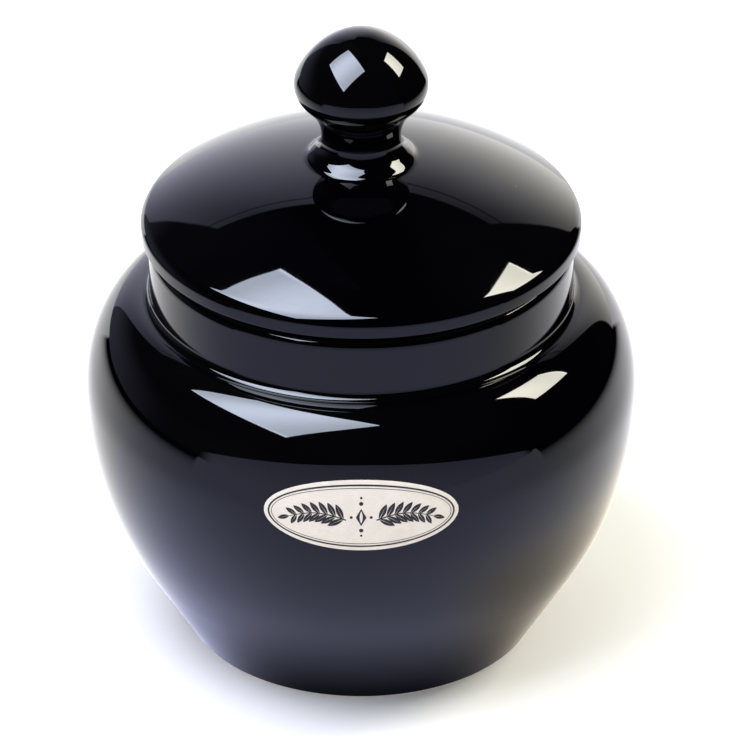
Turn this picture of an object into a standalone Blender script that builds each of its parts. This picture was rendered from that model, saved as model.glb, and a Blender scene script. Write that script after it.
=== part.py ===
"""Glazed stoneware tobacco jar: a round body, a sealed domed lid with a ball knob,
and a humidifier that hangs from the lid by a magnet.

Every piece is turned about the jar's upright axis, apart from the label on its front.
Sizes are in metres and angles in degrees. A half section is a list of points
(distance from the axis, height, rounding of the corner).
"""

import math

import bmesh
import bpy
from mathutils import Matrix, Vector

# Clearance and fineness
SEAT_GAP = 0.0003
FACET_ERROR = 0.00014
LEAST_STEPS = 2
LARGE_SIDES = 60
SMALL_SIDES = 40
SHARP_ANGLE = 40.0
MERGE_DISTANCE = 1e-6
AXIS_MARK = 0.017

# Jar body, outside
BODY_RADIUS = 0.0675
WIDEST_HEIGHT = 0.065
BARREL_BEND = 0.087
FOOT_SLOPE = 30.7
SHOULDER_RISE = 0.0266
SHOULDER_UNDERCUT = 0.0027
SHOULDER_STEPS = 8
NECK_RADIUS = 0.0517
NECK_HEIGHT = 0.0145
NECK_FILLET = 0.0018
RIM_ROUNDING = 0.003
FOOT_EDGE = 0.001

# Jar body, inside and underneath
BODY_WALL = 0.005
NECK_WALL = 0.0055
MOUTH_EDGE = 0.0008
THROAT_EDGE = 0.0015
FLOOR_THICKNESS = 0.0055
FLOOR_FILLET = 0.008
FOOT_RECESS = 0.002
FOOT_RING_WIDTH = 0.0055
RECESS_EDGE = 0.0006

# Label on the front
LABEL_WIDTH = 0.047
LABEL_HEIGHT = 0.0185
LABEL_RAISE = 0.002
LABEL_THICKNESS = 0.00035
LABEL_SIDES = 40
LABEL_RINGS = 4

# Rubber seal between the rim and the lid
SEAL_LEAF = 0.00105
SEAL_LEAF_WIDTH = 0.0032
SEAL_BAND = 0.0012
SEAL_RIB = 0.0003
SEAL_RIB_HEIGHT = 0.0008
SEAL_RIB_SPACING = 0.0032
SEAL_EDGE = 0.0003

# Lid
LID_OVERHANG = 0.00184
LIP_EDGE = 0.00086
LIP_SIDE = 0.00154
LIP_BEND = 0.00236
LIP_TURN = 49.4
EDGE_BEND = 0.0493
EDGE_TURN = 61.5
CROWN_THICKNESS = 0.005
FLANGE_DEPTH = 0.012
FLANGE_WALL = 0.004
FLANGE_EDGE = 0.001
FLANGE_ROOT = 0.003
BEAD_REACH = 0.0012
BEAD_HEIGHT = 0.0015
BEAD_EDGE = 0.0005
VENT_RADIUS = 0.002

# Knob
WAIST_RADIUS = 0.00964
COLLAR_COVE = 0.005
COLLAR_SWELL = 0.014
COLLAR_FILLET = 0.003
COLLAR_UPPER_TURN = 50.0
COLLAR_LOWER_TURN = 43.0
COLLAR_FOOT_TURN = 60.0
FLARE_BEND = 0.0116
FLARE_TURN = 43.2
FLARE_STRAIGHT = 0.00266
BALL_LOW_BEND = 0.00608
BALL_LOW_TURN = 25.0
BALL_SIDE_BEND = 0.0213
BALL_SIDE_TURN = 63.7
KNOB_BORE = 0.0045
KNOB_BORE_DEPTH = 0.022
KNOB_BORE_EDGE = 0.002

# Humidifier
MOUNT_RADIUS = 0.009
MOUNT_THICKNESS = 0.001
MAGNET_RADIUS = 0.008
MAGNET_THICKNESS = 0.0015
CASE_RADIUS = 0.024
CASE_DEPTH = 0.011
CASE_WALL = 0.0012
CASE_CLEARANCE = 0.00085
CASE_EDGE = 0.0005
FOAM_EDGE = 0.001
GRILLE_THICKNESS = 0.0013
GRILLE_WALL = 0.0012
GRILLE_SKIRT = 0.0035
GRILLE_EDGE = 0.0005
SLOT_COUNT = 10
SLOT_WIDTH = 0.0024
SLOT_INNER_END = 0.0075
SLOT_MARGIN = 0.0045
SLOT_OVERRUN = 0.0013


def bend_steps(radius, turn):
    """How many straight steps follow an arc to about FACET_ERROR of its curve."""
    half_step = math.acos(max(0.0, 1 - FACET_ERROR / abs(radius)))
    return max(LEAST_STEPS, round(abs(turn) / (2 * half_step)))


def bend(start, radius, low, high):
    """Points after start on an arc whose outward normal turns from low to high.

    Both turns are in degrees above level. A hollow arc has a negative radius.
    """
    first = math.radians(low)
    turn = math.radians(high - low)
    steps = bend_steps(radius, turn)
    points = []
    for step in range(1, steps + 1):
        angle = first + turn * step / steps
        out = start[0] - radius * (math.cos(first) - math.cos(angle))
        up = start[1] + radius * (math.sin(angle) - math.sin(first))
        points.append((out, up, 0.0))
    return points


def rounded(corners):
    """Points of a half section, with an arc at each corner that has a rounding."""
    points = []
    for index, (out, up, rounding) in enumerate(corners):
        here = Vector((out, up))
        if not rounding:
            points.append(here)
            continue
        before = (Vector(corners[index - 1][:2]) - here).normalized()
        after = (Vector(corners[(index + 1) % len(corners)][:2]) - here).normalized()
        half_angle = before.angle(after) / 2
        centre = here + (before + after).normalized() * rounding / math.sin(half_angle)
        start = here + before * rounding / math.tan(half_angle) - centre
        end = here + after * rounding / math.tan(half_angle) - centre
        turn = -start.angle_signed(end)
        steps = bend_steps(rounding, turn)
        for step in range(steps + 1):
            points.append(centre + Matrix.Rotation(turn * step / steps, 2) @ start)
    return points


def finish(name, colour, roughness, metallic=0.0):
    """A plain surface finish."""
    made = bpy.data.materials.new(name)
    made.use_nodes = True
    shader = made.node_tree.nodes["Principled BSDF"]
    shader.inputs["Base Color"].default_value = (*colour, 1.0)
    shader.inputs["Roughness"].default_value = roughness
    shader.inputs["Metallic"].default_value = metallic
    return made


def object_from(name, work, made_of, height, parent):
    """Turns a bmesh into a named object whose origin is on the jar's axis at this height."""
    bmesh.ops.remove_doubles(work, verts=work.verts, dist=MERGE_DISTANCE)
    bmesh.ops.translate(work, verts=work.verts, vec=(0, 0, -height))
    bmesh.ops.recalc_face_normals(work, faces=work.faces)
    mesh = bpy.data.meshes.new(name)
    work.to_mesh(mesh)
    work.free()
    mesh.materials.append(made_of)
    mesh.shade_smooth()
    mesh.set_sharp_from_angle(angle=math.radians(SHARP_ANGLE))
    made = bpy.data.objects.new(name, mesh)
    bpy.context.collection.objects.link(made)
    made.parent = parent
    made.location.z = height - (parent.matrix_world.translation.z if parent else 0.0)
    return made


def turned(name, corners, made_of, height, parent, sides, closed):
    """A piece turned from its half section.

    A closed section makes a ring. An open one begins and ends on the axis.
    """
    work = bmesh.new()
    ring = [work.verts.new((point.x, 0.0, point.y)) for point in rounded(corners)]
    edges = [work.edges.new(pair) for pair in zip(ring, ring[1:])]
    if closed:
        edges.append(work.edges.new((ring[-1], ring[0])))
    bmesh.ops.spin(
        work,
        geom=ring + edges,
        cent=(0, 0, 0),
        axis=(0, 0, 1),
        angle=2 * math.pi,
        steps=sides,
        use_merge=True,
    )
    return object_from(name, work, made_of, height, parent)


def axis_empty(name, height, parent):
    """An empty on the jar's axis that a moving group of pieces hangs from."""
    made = bpy.data.objects.new(name, None)
    made.empty_display_size = AXIS_MARK
    bpy.context.collection.objects.link(made)
    made.parent = parent
    made.location.z = height - (parent.matrix_world.translation.z if parent else 0.0)
    bpy.context.view_layer.update()
    return made


class JarBody:
    """The pot: foot ring, straight flare, barrel, shoulder and neck."""

    slope = math.radians(FOOT_SLOPE)
    barrel_centre = BODY_RADIUS - BARREL_BEND
    shoulder_centre = NECK_RADIUS - SHOULDER_UNDERCUT
    shoulder_reach = BODY_RADIUS - shoulder_centre
    flare_top = (
        barrel_centre + BARREL_BEND * math.cos(slope),
        WIDEST_HEIGHT - BARREL_BEND * math.sin(slope),
    )
    foot_radius = flare_top[0] - flare_top[1] * math.tan(slope)
    neck_root_turn = math.acos(SHOULDER_UNDERCUT / shoulder_reach)
    neck_root_height = WIDEST_HEIGHT + SHOULDER_RISE * math.sin(neck_root_turn)
    rim_height = neck_root_height + NECK_HEIGHT
    bore_radius = NECK_RADIUS - NECK_WALL
    floor_height = FOOT_RECESS + FLOOR_THICKNESS

    @classmethod
    def shoulder(cls, reach, rise, last_turn):
        """Points of the elliptic shoulder from the widest line up to this turn."""
        points = []
        for step in range(1, SHOULDER_STEPS + 1):
            turn = last_turn * step / SHOULDER_STEPS
            out = cls.shoulder_centre + reach * math.cos(turn)
            up = WIDEST_HEIGHT + rise * math.sin(turn)
            points.append((out, up, 0.0))
        return points

    @classmethod
    def outside(cls):
        """The outer side from the foot's edge to the rim's outer corner."""
        barrel = bend(cls.flare_top, BARREL_BEND, -FOOT_SLOPE, 0.0)
        shoulder = cls.shoulder(cls.shoulder_reach, SHOULDER_RISE, cls.neck_root_turn)
        neck_root = (*shoulder.pop()[:2], NECK_FILLET)
        return [
            (cls.foot_radius, 0.0, FOOT_EDGE),
            (*cls.flare_top, 0.0),
            *barrel,
            *shoulder,
            neck_root,
            (NECK_RADIUS, cls.rim_height, RIM_ROUNDING),
        ]

    @classmethod
    def inside(cls):
        """The inner side from the mouth down to the middle of the floor."""
        reach = cls.shoulder_reach - BODY_WALL
        rise = SHOULDER_RISE - BODY_WALL
        shoulder = cls.shoulder(reach, rise, math.pi / 2)
        shoulder.reverse()
        widest = (BODY_RADIUS - BODY_WALL, WIDEST_HEIGHT)
        barrel = bend(widest, BARREL_BEND - BODY_WALL, 0.0, -FOOT_SLOPE)
        flare_foot = barrel[-1]
        floor_radius = flare_foot[0] - (flare_foot[1] - cls.floor_height) * math.tan(cls.slope)
        return [
            (cls.bore_radius, cls.rim_height, MOUTH_EDGE),
            (cls.bore_radius, WIDEST_HEIGHT + rise, THROAT_EDGE),
            *shoulder,
            (*widest, 0.0),
            *barrel,
            (floor_radius, cls.floor_height, FLOOR_FILLET),
            (0.0, cls.floor_height, 0.0),
        ]

    @classmethod
    def build(cls, made_of):
        """Makes the pot, with a recess under it that leaves a foot ring."""
        recess_radius = cls.foot_radius - FOOT_RING_WIDTH
        underside = [
            (0.0, FOOT_RECESS, 0.0),
            (recess_radius, FOOT_RECESS, RECESS_EDGE),
            (recess_radius, 0.0, RECESS_EDGE),
        ]
        section = underside + cls.outside() + cls.inside()
        return turned("jar_body", section, made_of, 0.0, None, LARGE_SIDES, closed=False)

    @classmethod
    def side_at(cls, height):
        """Distance from the axis and outward normal of the body's side at this height."""
        rise = height - WIDEST_HEIGHT
        above = rise > 0
        centre = cls.shoulder_centre if above else cls.barrel_centre
        across = cls.shoulder_reach if above else BARREL_BEND
        upward = SHOULDER_RISE if above else BARREL_BEND
        out = across * math.sqrt(1 - (rise / upward) ** 2)
        return centre + out, Vector((out / across**2, rise / upward**2)).normalized()


def build_label(made_of):
    """An oval label bent to the front of the body."""

    def on_body(along, height):
        """The point of the label's back this far round the front, at this height."""
        radius, normal = JarBody.side_at(height)
        angle = along / BODY_RADIUS
        out = radius + normal.x * SEAT_GAP
        up = height + normal.y * SEAT_GAP
        return out * math.sin(angle), -out * math.cos(angle), up

    middle = WIDEST_HEIGHT + LABEL_RAISE
    work = bmesh.new()
    rings = []
    for ring in range(1, LABEL_RINGS + 1):
        share = ring / LABEL_RINGS
        loop = []
        for side in range(LABEL_SIDES):
            turn = 2 * math.pi * side / LABEL_SIDES
            along = share * LABEL_WIDTH / 2 * math.cos(turn)
            height = middle + share * LABEL_HEIGHT / 2 * math.sin(turn)
            loop.append(work.verts.new(on_body(along, height)))
        rings.append(loop)
    hub = work.verts.new(on_body(0.0, middle))
    for side in range(LABEL_SIDES):
        after = (side + 1) % LABEL_SIDES
        work.faces.new((hub, rings[0][side], rings[0][after]))
        for inner, outer in zip(rings, rings[1:]):
            work.faces.new((inner[side], outer[side], outer[after], inner[after]))
    label = object_from("label", work, made_of, 0.0, None)
    body = label.modifiers.new("Paper thickness", "SOLIDIFY")
    body.thickness = LABEL_THICKNESS
    body.offset = 1.0
    return label


class Seal:
    """The rubber ring: a band round the lid's flange and a leaf on the rim."""

    leaf_bottom = JarBody.rim_height + SEAT_GAP
    leaf_top = leaf_bottom + SEAL_LEAF
    rib_radius = JarBody.bore_radius - SEAT_GAP
    band_radius = rib_radius - SEAL_RIB
    inner_radius = band_radius - SEAL_BAND
    leaf_radius = JarBody.bore_radius + SEAL_LEAF_WIDTH

    @classmethod
    def build(cls, made_of, parent):
        """Makes the ring with two ribs that wipe the bore of the neck."""
        band_bottom = Lid.flange_bottom + BEAD_HEIGHT + SEAT_GAP
        middle = (cls.leaf_bottom + band_bottom) / 2
        ribs = []
        for rib_height in (middle + SEAL_RIB_SPACING / 2, middle - SEAL_RIB_SPACING / 2):
            ribs.append((cls.band_radius, rib_height + SEAL_RIB_HEIGHT / 2, 0.0))
            ribs.append((cls.rib_radius, rib_height, 0.0))
            ribs.append((cls.band_radius, rib_height - SEAL_RIB_HEIGHT / 2, 0.0))
        section = [
            (cls.inner_radius, cls.leaf_top, 0.0),
            (cls.leaf_radius, cls.leaf_top, SEAL_EDGE),
            (cls.leaf_radius, cls.leaf_bottom, SEAL_EDGE),
            (cls.band_radius, cls.leaf_bottom, 0.0),
            *ribs,
            (cls.band_radius, band_bottom, SEAL_EDGE),
            (cls.inner_radius, band_bottom, 0.0),
        ]
        return turned(
            "seal_ring", section, made_of, JarBody.rim_height, parent, LARGE_SIDES, closed=True
        )


class Lid:
    """The domed lid: a lip that overhangs the neck and a flange that locates it."""

    underside = Seal.leaf_top + SEAT_GAP
    lip_radius = NECK_RADIUS + LID_OVERHANG
    flange_bottom = underside - FLANGE_DEPTH
    groove_radius = Seal.inner_radius - SEAT_GAP
    flange_inner_radius = groove_radius - FLANGE_WALL
    lip_top = (lip_radius, underside + LIP_EDGE + LIP_SIDE)
    lip_arc = bend(lip_top, LIP_BEND, 0.0, LIP_TURN)
    edge_arc = bend(lip_arc[-1], EDGE_BEND, LIP_TURN, EDGE_TURN)
    dome_bend = edge_arc[-1][0] / math.cos(math.radians(EDGE_TURN))
    dome_centre = edge_arc[-1][1] - dome_bend * math.sin(math.radians(EDGE_TURN))

    @classmethod
    def dome_height(cls, radius, below=0.0):
        """Height of the dome this far from the axis, or of the surface this far below it."""
        return cls.dome_centre + math.sqrt((cls.dome_bend - below) ** 2 - radius**2)

    @classmethod
    def dome_turn(cls, radius, below=0.0):
        """How far the dome's normal stands above level there, in degrees."""
        return math.degrees(math.acos(radius / (cls.dome_bend - below)))

    @classmethod
    def dome_arc(cls, first_radius, last_radius, below=0.0):
        """Points along the dome from the first distance from the axis to the last."""
        start = (first_radius, cls.dome_height(first_radius, below))
        first_turn = cls.dome_turn(first_radius, below)
        last_turn = cls.dome_turn(last_radius, below)
        return [(*start, 0.0), *bend(start, cls.dome_bend - below, first_turn, last_turn)]

    @classmethod
    def build(cls, made_of, parent):
        """Makes the lid, with a small vent in its crown that the knob covers."""
        crown = cls.dome_arc(cls.edge_arc[-1][0], VENT_RADIUS)
        ceiling = cls.dome_arc(VENT_RADIUS, cls.flange_inner_radius, CROWN_THICKNESS)
        corner = (*ceiling.pop()[:2], FLANGE_ROOT)
        bead_radius = cls.groove_radius + BEAD_REACH
        bead_top = cls.flange_bottom + BEAD_HEIGHT
        section = [
            (cls.lip_radius, cls.underside, LIP_EDGE),
            (*cls.lip_top, 0.0),
            *cls.lip_arc,
            *cls.edge_arc[:-1],
            *crown,
            *ceiling,
            corner,
            (cls.flange_inner_radius, cls.flange_bottom, FLANGE_EDGE),
            (bead_radius, cls.flange_bottom, BEAD_EDGE),
            (bead_radius, bead_top, BEAD_EDGE),
            (cls.groove_radius, bead_top, 0.0),
            (cls.groove_radius, cls.underside, 0.0),
        ]
        return turned("lid", section, made_of, cls.underside, parent, LARGE_SIDES, closed=True)


def build_knob(made_of, parent):
    """A hollow ball knob on a spreading collar that sits on the crown of the lid."""
    flare_turn = math.radians(FLARE_TURN)
    collar_arcs = (
        (-COLLAR_FILLET, COLLAR_FOOT_TURN, COLLAR_LOWER_TURN),
        (COLLAR_SWELL, COLLAR_LOWER_TURN, COLLAR_UPPER_TURN),
        (-COLLAR_COVE, COLLAR_UPPER_TURN, 0.0),
    )
    collar_radius = WAIST_RADIUS
    for radius, low, high in collar_arcs:
        collar_radius += radius * (math.cos(math.radians(low)) - math.cos(math.radians(high)))
    base = [
        (out, up + SEAT_GAP, rounding)
        for out, up, rounding in Lid.dome_arc(KNOB_BORE, collar_radius)
    ]
    collar = base[-1:]
    for radius, low, high in collar_arcs:
        collar += bend(collar[-1], radius, low, high)
    flare = bend(collar[-1], -FLARE_BEND, 0.0, -FLARE_TURN)
    ball_start = (
        flare[-1][0] + FLARE_STRAIGHT * math.sin(flare_turn),
        flare[-1][1] + FLARE_STRAIGHT * math.cos(flare_turn),
        0.0,
    )
    ball_low = bend(ball_start, BALL_LOW_BEND, -FLARE_TURN, BALL_LOW_TURN)
    ball_side = bend(ball_low[-1], BALL_SIDE_BEND, BALL_LOW_TURN, BALL_SIDE_TURN)
    cap_bend = ball_side[-1][0] / math.cos(math.radians(BALL_SIDE_TURN))
    cap = bend(ball_side[-1], cap_bend, BALL_SIDE_TURN, 90.0)
    bore_top = Lid.dome_height(0.0) + KNOB_BORE_DEPTH
    bore = [(0.0, bore_top, 0.0), (KNOB_BORE, bore_top, KNOB_BORE_EDGE)]
    outside = [*collar[1:], *flare, ball_start, *ball_low, *ball_side, *cap]
    section = bore + base + outside
    base_height = Lid.dome_height(0.0) + SEAT_GAP
    return turned("lid_knob", section, made_of, base_height, parent, SMALL_SIDES, closed=False)


class Humidifier:
    """The plastic case under the lid, from its steel mount down to its grille."""

    mount_top = Lid.dome_height(MOUNT_RADIUS, CROWN_THICKNESS) - SEAT_GAP
    mount_bottom = mount_top - MOUNT_THICKNESS
    magnet_top = mount_bottom - SEAT_GAP
    magnet_bottom = magnet_top - MAGNET_THICKNESS
    case_top = Lid.dome_height(CASE_RADIUS, CROWN_THICKNESS) - CASE_CLEARANCE
    case_bottom = case_top - CASE_DEPTH
    case_ceiling = case_top - CASE_WALL
    grille_top = case_bottom - SEAT_GAP
    grille_bottom = grille_top - GRILLE_THICKNESS
    grille_inner_radius = CASE_RADIUS + SEAT_GAP
    grille_radius = grille_inner_radius + GRILLE_WALL

    @classmethod
    def build_mount(cls, made_of, parent):
        """The steel disc glued under the crown of the lid."""
        section = [
            (0.0, cls.mount_bottom, 0.0),
            (MOUNT_RADIUS, cls.mount_bottom, 0.0),
            (MOUNT_RADIUS, cls.mount_top, 0.0),
            (0.0, cls.mount_top, 0.0),
        ]
        return turned(
            "humidifier_mount", section, made_of, cls.mount_top, parent, SMALL_SIDES, closed=False
        )

    @classmethod
    def build_magnet(cls, made_of, parent):
        """The round magnet in the boss on top of the case."""
        section = [
            (0.0, cls.magnet_bottom, 0.0),
            (MAGNET_RADIUS, cls.magnet_bottom, 0.0),
            (MAGNET_RADIUS, cls.magnet_top, 0.0),
            (0.0, cls.magnet_top, 0.0),
        ]
        return turned(
            "humidifier_magnet", section, made_of, cls.magnet_top, parent, SMALL_SIDES, closed=False
        )

    @classmethod
    def build_case(cls, made_of, parent):
        """The cup, open downward, with a boss on top that holds the magnet."""
        inner_radius = CASE_RADIUS - CASE_WALL
        pocket_radius = MAGNET_RADIUS + SEAT_GAP
        pocket_floor = cls.magnet_bottom - SEAT_GAP
        boss_radius = pocket_radius + CASE_WALL
        section = [
            (0.0, cls.case_ceiling, 0.0),
            (inner_radius, cls.case_ceiling, 0.0),
            (inner_radius, cls.case_bottom, 0.0),
            (CASE_RADIUS, cls.case_bottom, 0.0),
            (CASE_RADIUS, cls.case_top, CASE_EDGE),
            (boss_radius, cls.case_top, CASE_EDGE),
            (boss_radius, cls.magnet_top, 0.0),
            (pocket_radius, cls.magnet_top, 0.0),
            (pocket_radius, pocket_floor, 0.0),
            (0.0, pocket_floor, 0.0),
        ]
        return turned(
            "humidifier_case", section, made_of, cls.case_top, parent, SMALL_SIDES, closed=False
        )

    @classmethod
    def build_foam(cls, made_of, parent):
        """The round foam pad that fills the case."""
        radius = CASE_RADIUS - CASE_WALL - SEAT_GAP
        bottom = cls.grille_top + SEAT_GAP
        top = cls.case_ceiling - SEAT_GAP
        section = [
            (0.0, bottom, 0.0),
            (radius, bottom, FOAM_EDGE),
            (radius, top, FOAM_EDGE),
            (0.0, top, 0.0),
        ]
        return turned("humidifier_foam", section, made_of, bottom, parent, SMALL_SIDES, closed=False)

    @classmethod
    def slot_cutter(cls, made_of, parent):
        """A ring of upright blocks that cut the slots of the grille."""
        outer_end = CASE_RADIUS - SLOT_MARGIN
        length = outer_end - SLOT_INNER_END
        height = GRILLE_THICKNESS + 2 * SLOT_OVERRUN
        centre = ((outer_end + SLOT_INNER_END) / 2, 0, cls.grille_top - GRILLE_THICKNESS / 2)
        work = bmesh.new()
        for slot in range(SLOT_COUNT):
            place = Matrix.Rotation(2 * math.pi * slot / SLOT_COUNT, 4, "Z")
            place @= Matrix.Translation(centre)
            place @= Matrix.Diagonal((length, SLOT_WIDTH, height, 1))
            bmesh.ops.create_cube(work, size=1.0, matrix=place)
        cutter = object_from("grille_slot_cutter", work, made_of, cls.grille_top, parent)
        cutter.hide_render = True
        cutter.display_type = "WIRE"
        return cutter

    @classmethod
    def build_grille(cls, made_of, parent):
        """The slotted cap that clips over the open end of the case."""
        skirt_top = cls.case_bottom + GRILLE_SKIRT
        section = [
            (0.0, cls.grille_bottom, 0.0),
            (cls.grille_radius, cls.grille_bottom, GRILLE_EDGE),
            (cls.grille_radius, skirt_top, 0.0),
            (cls.grille_inner_radius, skirt_top, 0.0),
            (cls.grille_inner_radius, cls.grille_top, 0.0),
            (0.0, cls.grille_top, 0.0),
        ]
        grille = turned(
            "humidifier_grille",
            section,
            made_of,
            cls.grille_bottom,
            parent,
            SMALL_SIDES,
            closed=False,
        )
        slots = grille.modifiers.new("Slots", "BOOLEAN")
        slots.operation = "DIFFERENCE"
        slots.object = cls.slot_cutter(made_of, parent)
        return grille


def main():
    """Clears the scene and builds the jar from the foot up."""
    for item in list(bpy.data.objects):
        bpy.data.objects.remove(item, do_unlink=True)

    black_glaze = finish("black_glaze", (0.004, 0.004, 0.005), 0.05)
    cream_paper = finish("cream_paper", (0.84, 0.80, 0.74), 0.6)
    grey_rubber = finish("grey_rubber", (0.03, 0.03, 0.03), 0.7)
    plain_steel = finish("plain_steel", (0.6, 0.6, 0.6), 0.35, metallic=1.0)
    nickel_plate = finish("nickel_plate", (0.75, 0.74, 0.72), 0.15, metallic=1.0)
    black_plastic = finish("black_plastic", (0.02, 0.02, 0.02), 0.45)
    green_foam = finish("green_foam", (0.12, 0.30, 0.16), 0.95)

    JarBody.build(black_glaze)
    build_label(cream_paper)

    seal_axis = axis_empty("seal_axis", JarBody.rim_height, None)
    Seal.build(grey_rubber, seal_axis)
    lid_axis = axis_empty("lid_axis", Lid.underside, seal_axis)
    Lid.build(black_glaze, lid_axis)
    build_knob(black_glaze, lid_axis)
    Humidifier.build_mount(plain_steel, lid_axis)

    humidifier_axis = axis_empty("humidifier_axis", Humidifier.magnet_top, lid_axis)
    Humidifier.build_magnet(nickel_plate, humidifier_axis)
    Humidifier.build_case(black_plastic, humidifier_axis)
    Humidifier.build_foam(green_foam, humidifier_axis)
    grille_axis = axis_empty("grille_axis", Humidifier.grille_top, humidifier_axis)
    Humidifier.build_grille(black_plastic, grille_axis)


if __name__ == "__main__":
    main()
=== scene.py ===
"""Looks of a black glazed tobacco jar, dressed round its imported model.

Sizes are in metres and angles in degrees, in the model's own frame: the jar stands on
z = 0 with its axis on z, and its label faces -y.
"""

import logging
import math
from collections.abc import Callable, Sequence
from dataclasses import dataclass
from enum import Enum
from typing import Any, NamedTuple

import bmesh
import bpy
from mathutils import Matrix, Vector, noise


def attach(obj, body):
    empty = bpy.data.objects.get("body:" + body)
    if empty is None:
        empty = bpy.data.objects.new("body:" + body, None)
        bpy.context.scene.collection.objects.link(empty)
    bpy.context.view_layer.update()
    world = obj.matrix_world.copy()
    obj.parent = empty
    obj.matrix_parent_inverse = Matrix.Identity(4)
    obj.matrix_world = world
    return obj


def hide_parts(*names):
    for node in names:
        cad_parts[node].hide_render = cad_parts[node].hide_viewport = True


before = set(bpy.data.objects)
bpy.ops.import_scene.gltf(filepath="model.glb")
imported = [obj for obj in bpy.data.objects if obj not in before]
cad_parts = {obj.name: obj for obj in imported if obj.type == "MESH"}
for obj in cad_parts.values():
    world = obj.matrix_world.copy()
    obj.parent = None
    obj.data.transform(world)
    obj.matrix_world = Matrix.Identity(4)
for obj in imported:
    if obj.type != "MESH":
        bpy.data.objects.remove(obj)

LOG = logging.getLogger("tobacco_jar")
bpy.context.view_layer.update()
MILLIMETRE = 0.001
MICRON = 0.000001
SEAT_GAP = 0.0003
LARGE_SIDES = 288
SMALL_SIDES = 144
CORNER_FACET = 7.5

BACKGROUND = "ShaderNodeBackground"

Point = tuple[float, float]
Colour = tuple[float, float, float]

WHITE: Colour = (1.0, 1.0, 1.0)
COOL: Colour = (0.94, 1.0, 1.48)


class Body(Enum):
    """The moving bodies that pieces ride on."""

    JAR = "jar"
    SEAL = "seal"
    LID = "lid"
    HUMIDIFIER = "humidifier"
    GRILLE = "grille"


class Slot(Enum):
    """The record's material slots."""

    GLAZE = "black_glaze"
    PAPER = "cream_paper"
    RUBBER = "grey_rubber"
    STEEL = "plain_steel"
    NICKEL = "nickel_plate"
    PLASTIC = "black_plastic"
    FOAM = "green_foam"


class Ramp(NamedTuple):
    """A smooth change of one number with another, from first at low to last at high."""

    low: float
    high: float
    first: float = 0.0
    last: float = 1.0


class Shade:
    """A socket that carries a number and takes part in Python sums."""

    def __init__(self, painter: "Painter", socket: bpy.types.NodeSocket | None) -> None:
        """Keeps one output socket and the painter of its tree."""
        self.painter = painter
        self.socket = socket

    def _math(self, operation: str, *values: "Shade | float") -> "Shade":
        """Adds one Math node over the values, in their order."""
        settings = {"operation": operation}
        return self.painter.node("ShaderNodeMath", settings, dict(enumerate(values)))

    def __add__(self, other: "Shade | float") -> "Shade":
        """Sum of two numbers."""
        return self._math("ADD", self, other)

    __radd__ = __add__

    def __sub__(self, other: "Shade | float") -> "Shade":
        """Difference of two numbers."""
        return self._math("SUBTRACT", self, other)

    def __rsub__(self, other: float) -> "Shade":
        """Difference from a plain number."""
        return self._math("SUBTRACT", other, self)

    def __mul__(self, other: "Shade | float") -> "Shade":
        """Product of two numbers."""
        return self._math("MULTIPLY", self, other)

    __rmul__ = __mul__

    def __truediv__(self, other: "Shade | float") -> "Shade":
        """Quotient of two numbers."""
        return self._math("DIVIDE", self, other)

    def __neg__(self) -> "Shade":
        """The number with its sign turned."""
        return self._math("MULTIPLY", self, -1.0)

    def __abs__(self) -> "Shade":
        """The number without its sign."""
        return self._math("ABSOLUTE", self)

    def root(self) -> "Shade":
        """Square root."""
        return self._math("SQRT", self)

    def least(self, other: "Shade | float") -> "Shade":
        """The smaller of two numbers."""
        return self._math("MINIMUM", self, other)

    def most(self, other: "Shade | float") -> "Shade":
        """The larger of two numbers."""
        return self._math("MAXIMUM", self, other)

    def ramp(self, low: float, high: float, first: float = 0.0, last: float = 1.0) -> "Shade":
        """Maps the number smoothly from one range to another, and holds it there.

        Args:
            low: The value that gives first.
            high: The value that gives last.
            first: The result at low.
            last: The result at high.

        Returns:
            The mapped number.
        """
        settings = {"interpolation_type": "SMOOTHSTEP"}
        values = {0: self, 1: low, 2: high, 3: first, 4: last}
        return self.painter.node("ShaderNodeMapRange", settings, values)

    def above(self, softness: float) -> "Shade":
        """One where the number is over zero, with a soft edge."""
        return self.ramp(-softness, softness)


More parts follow.
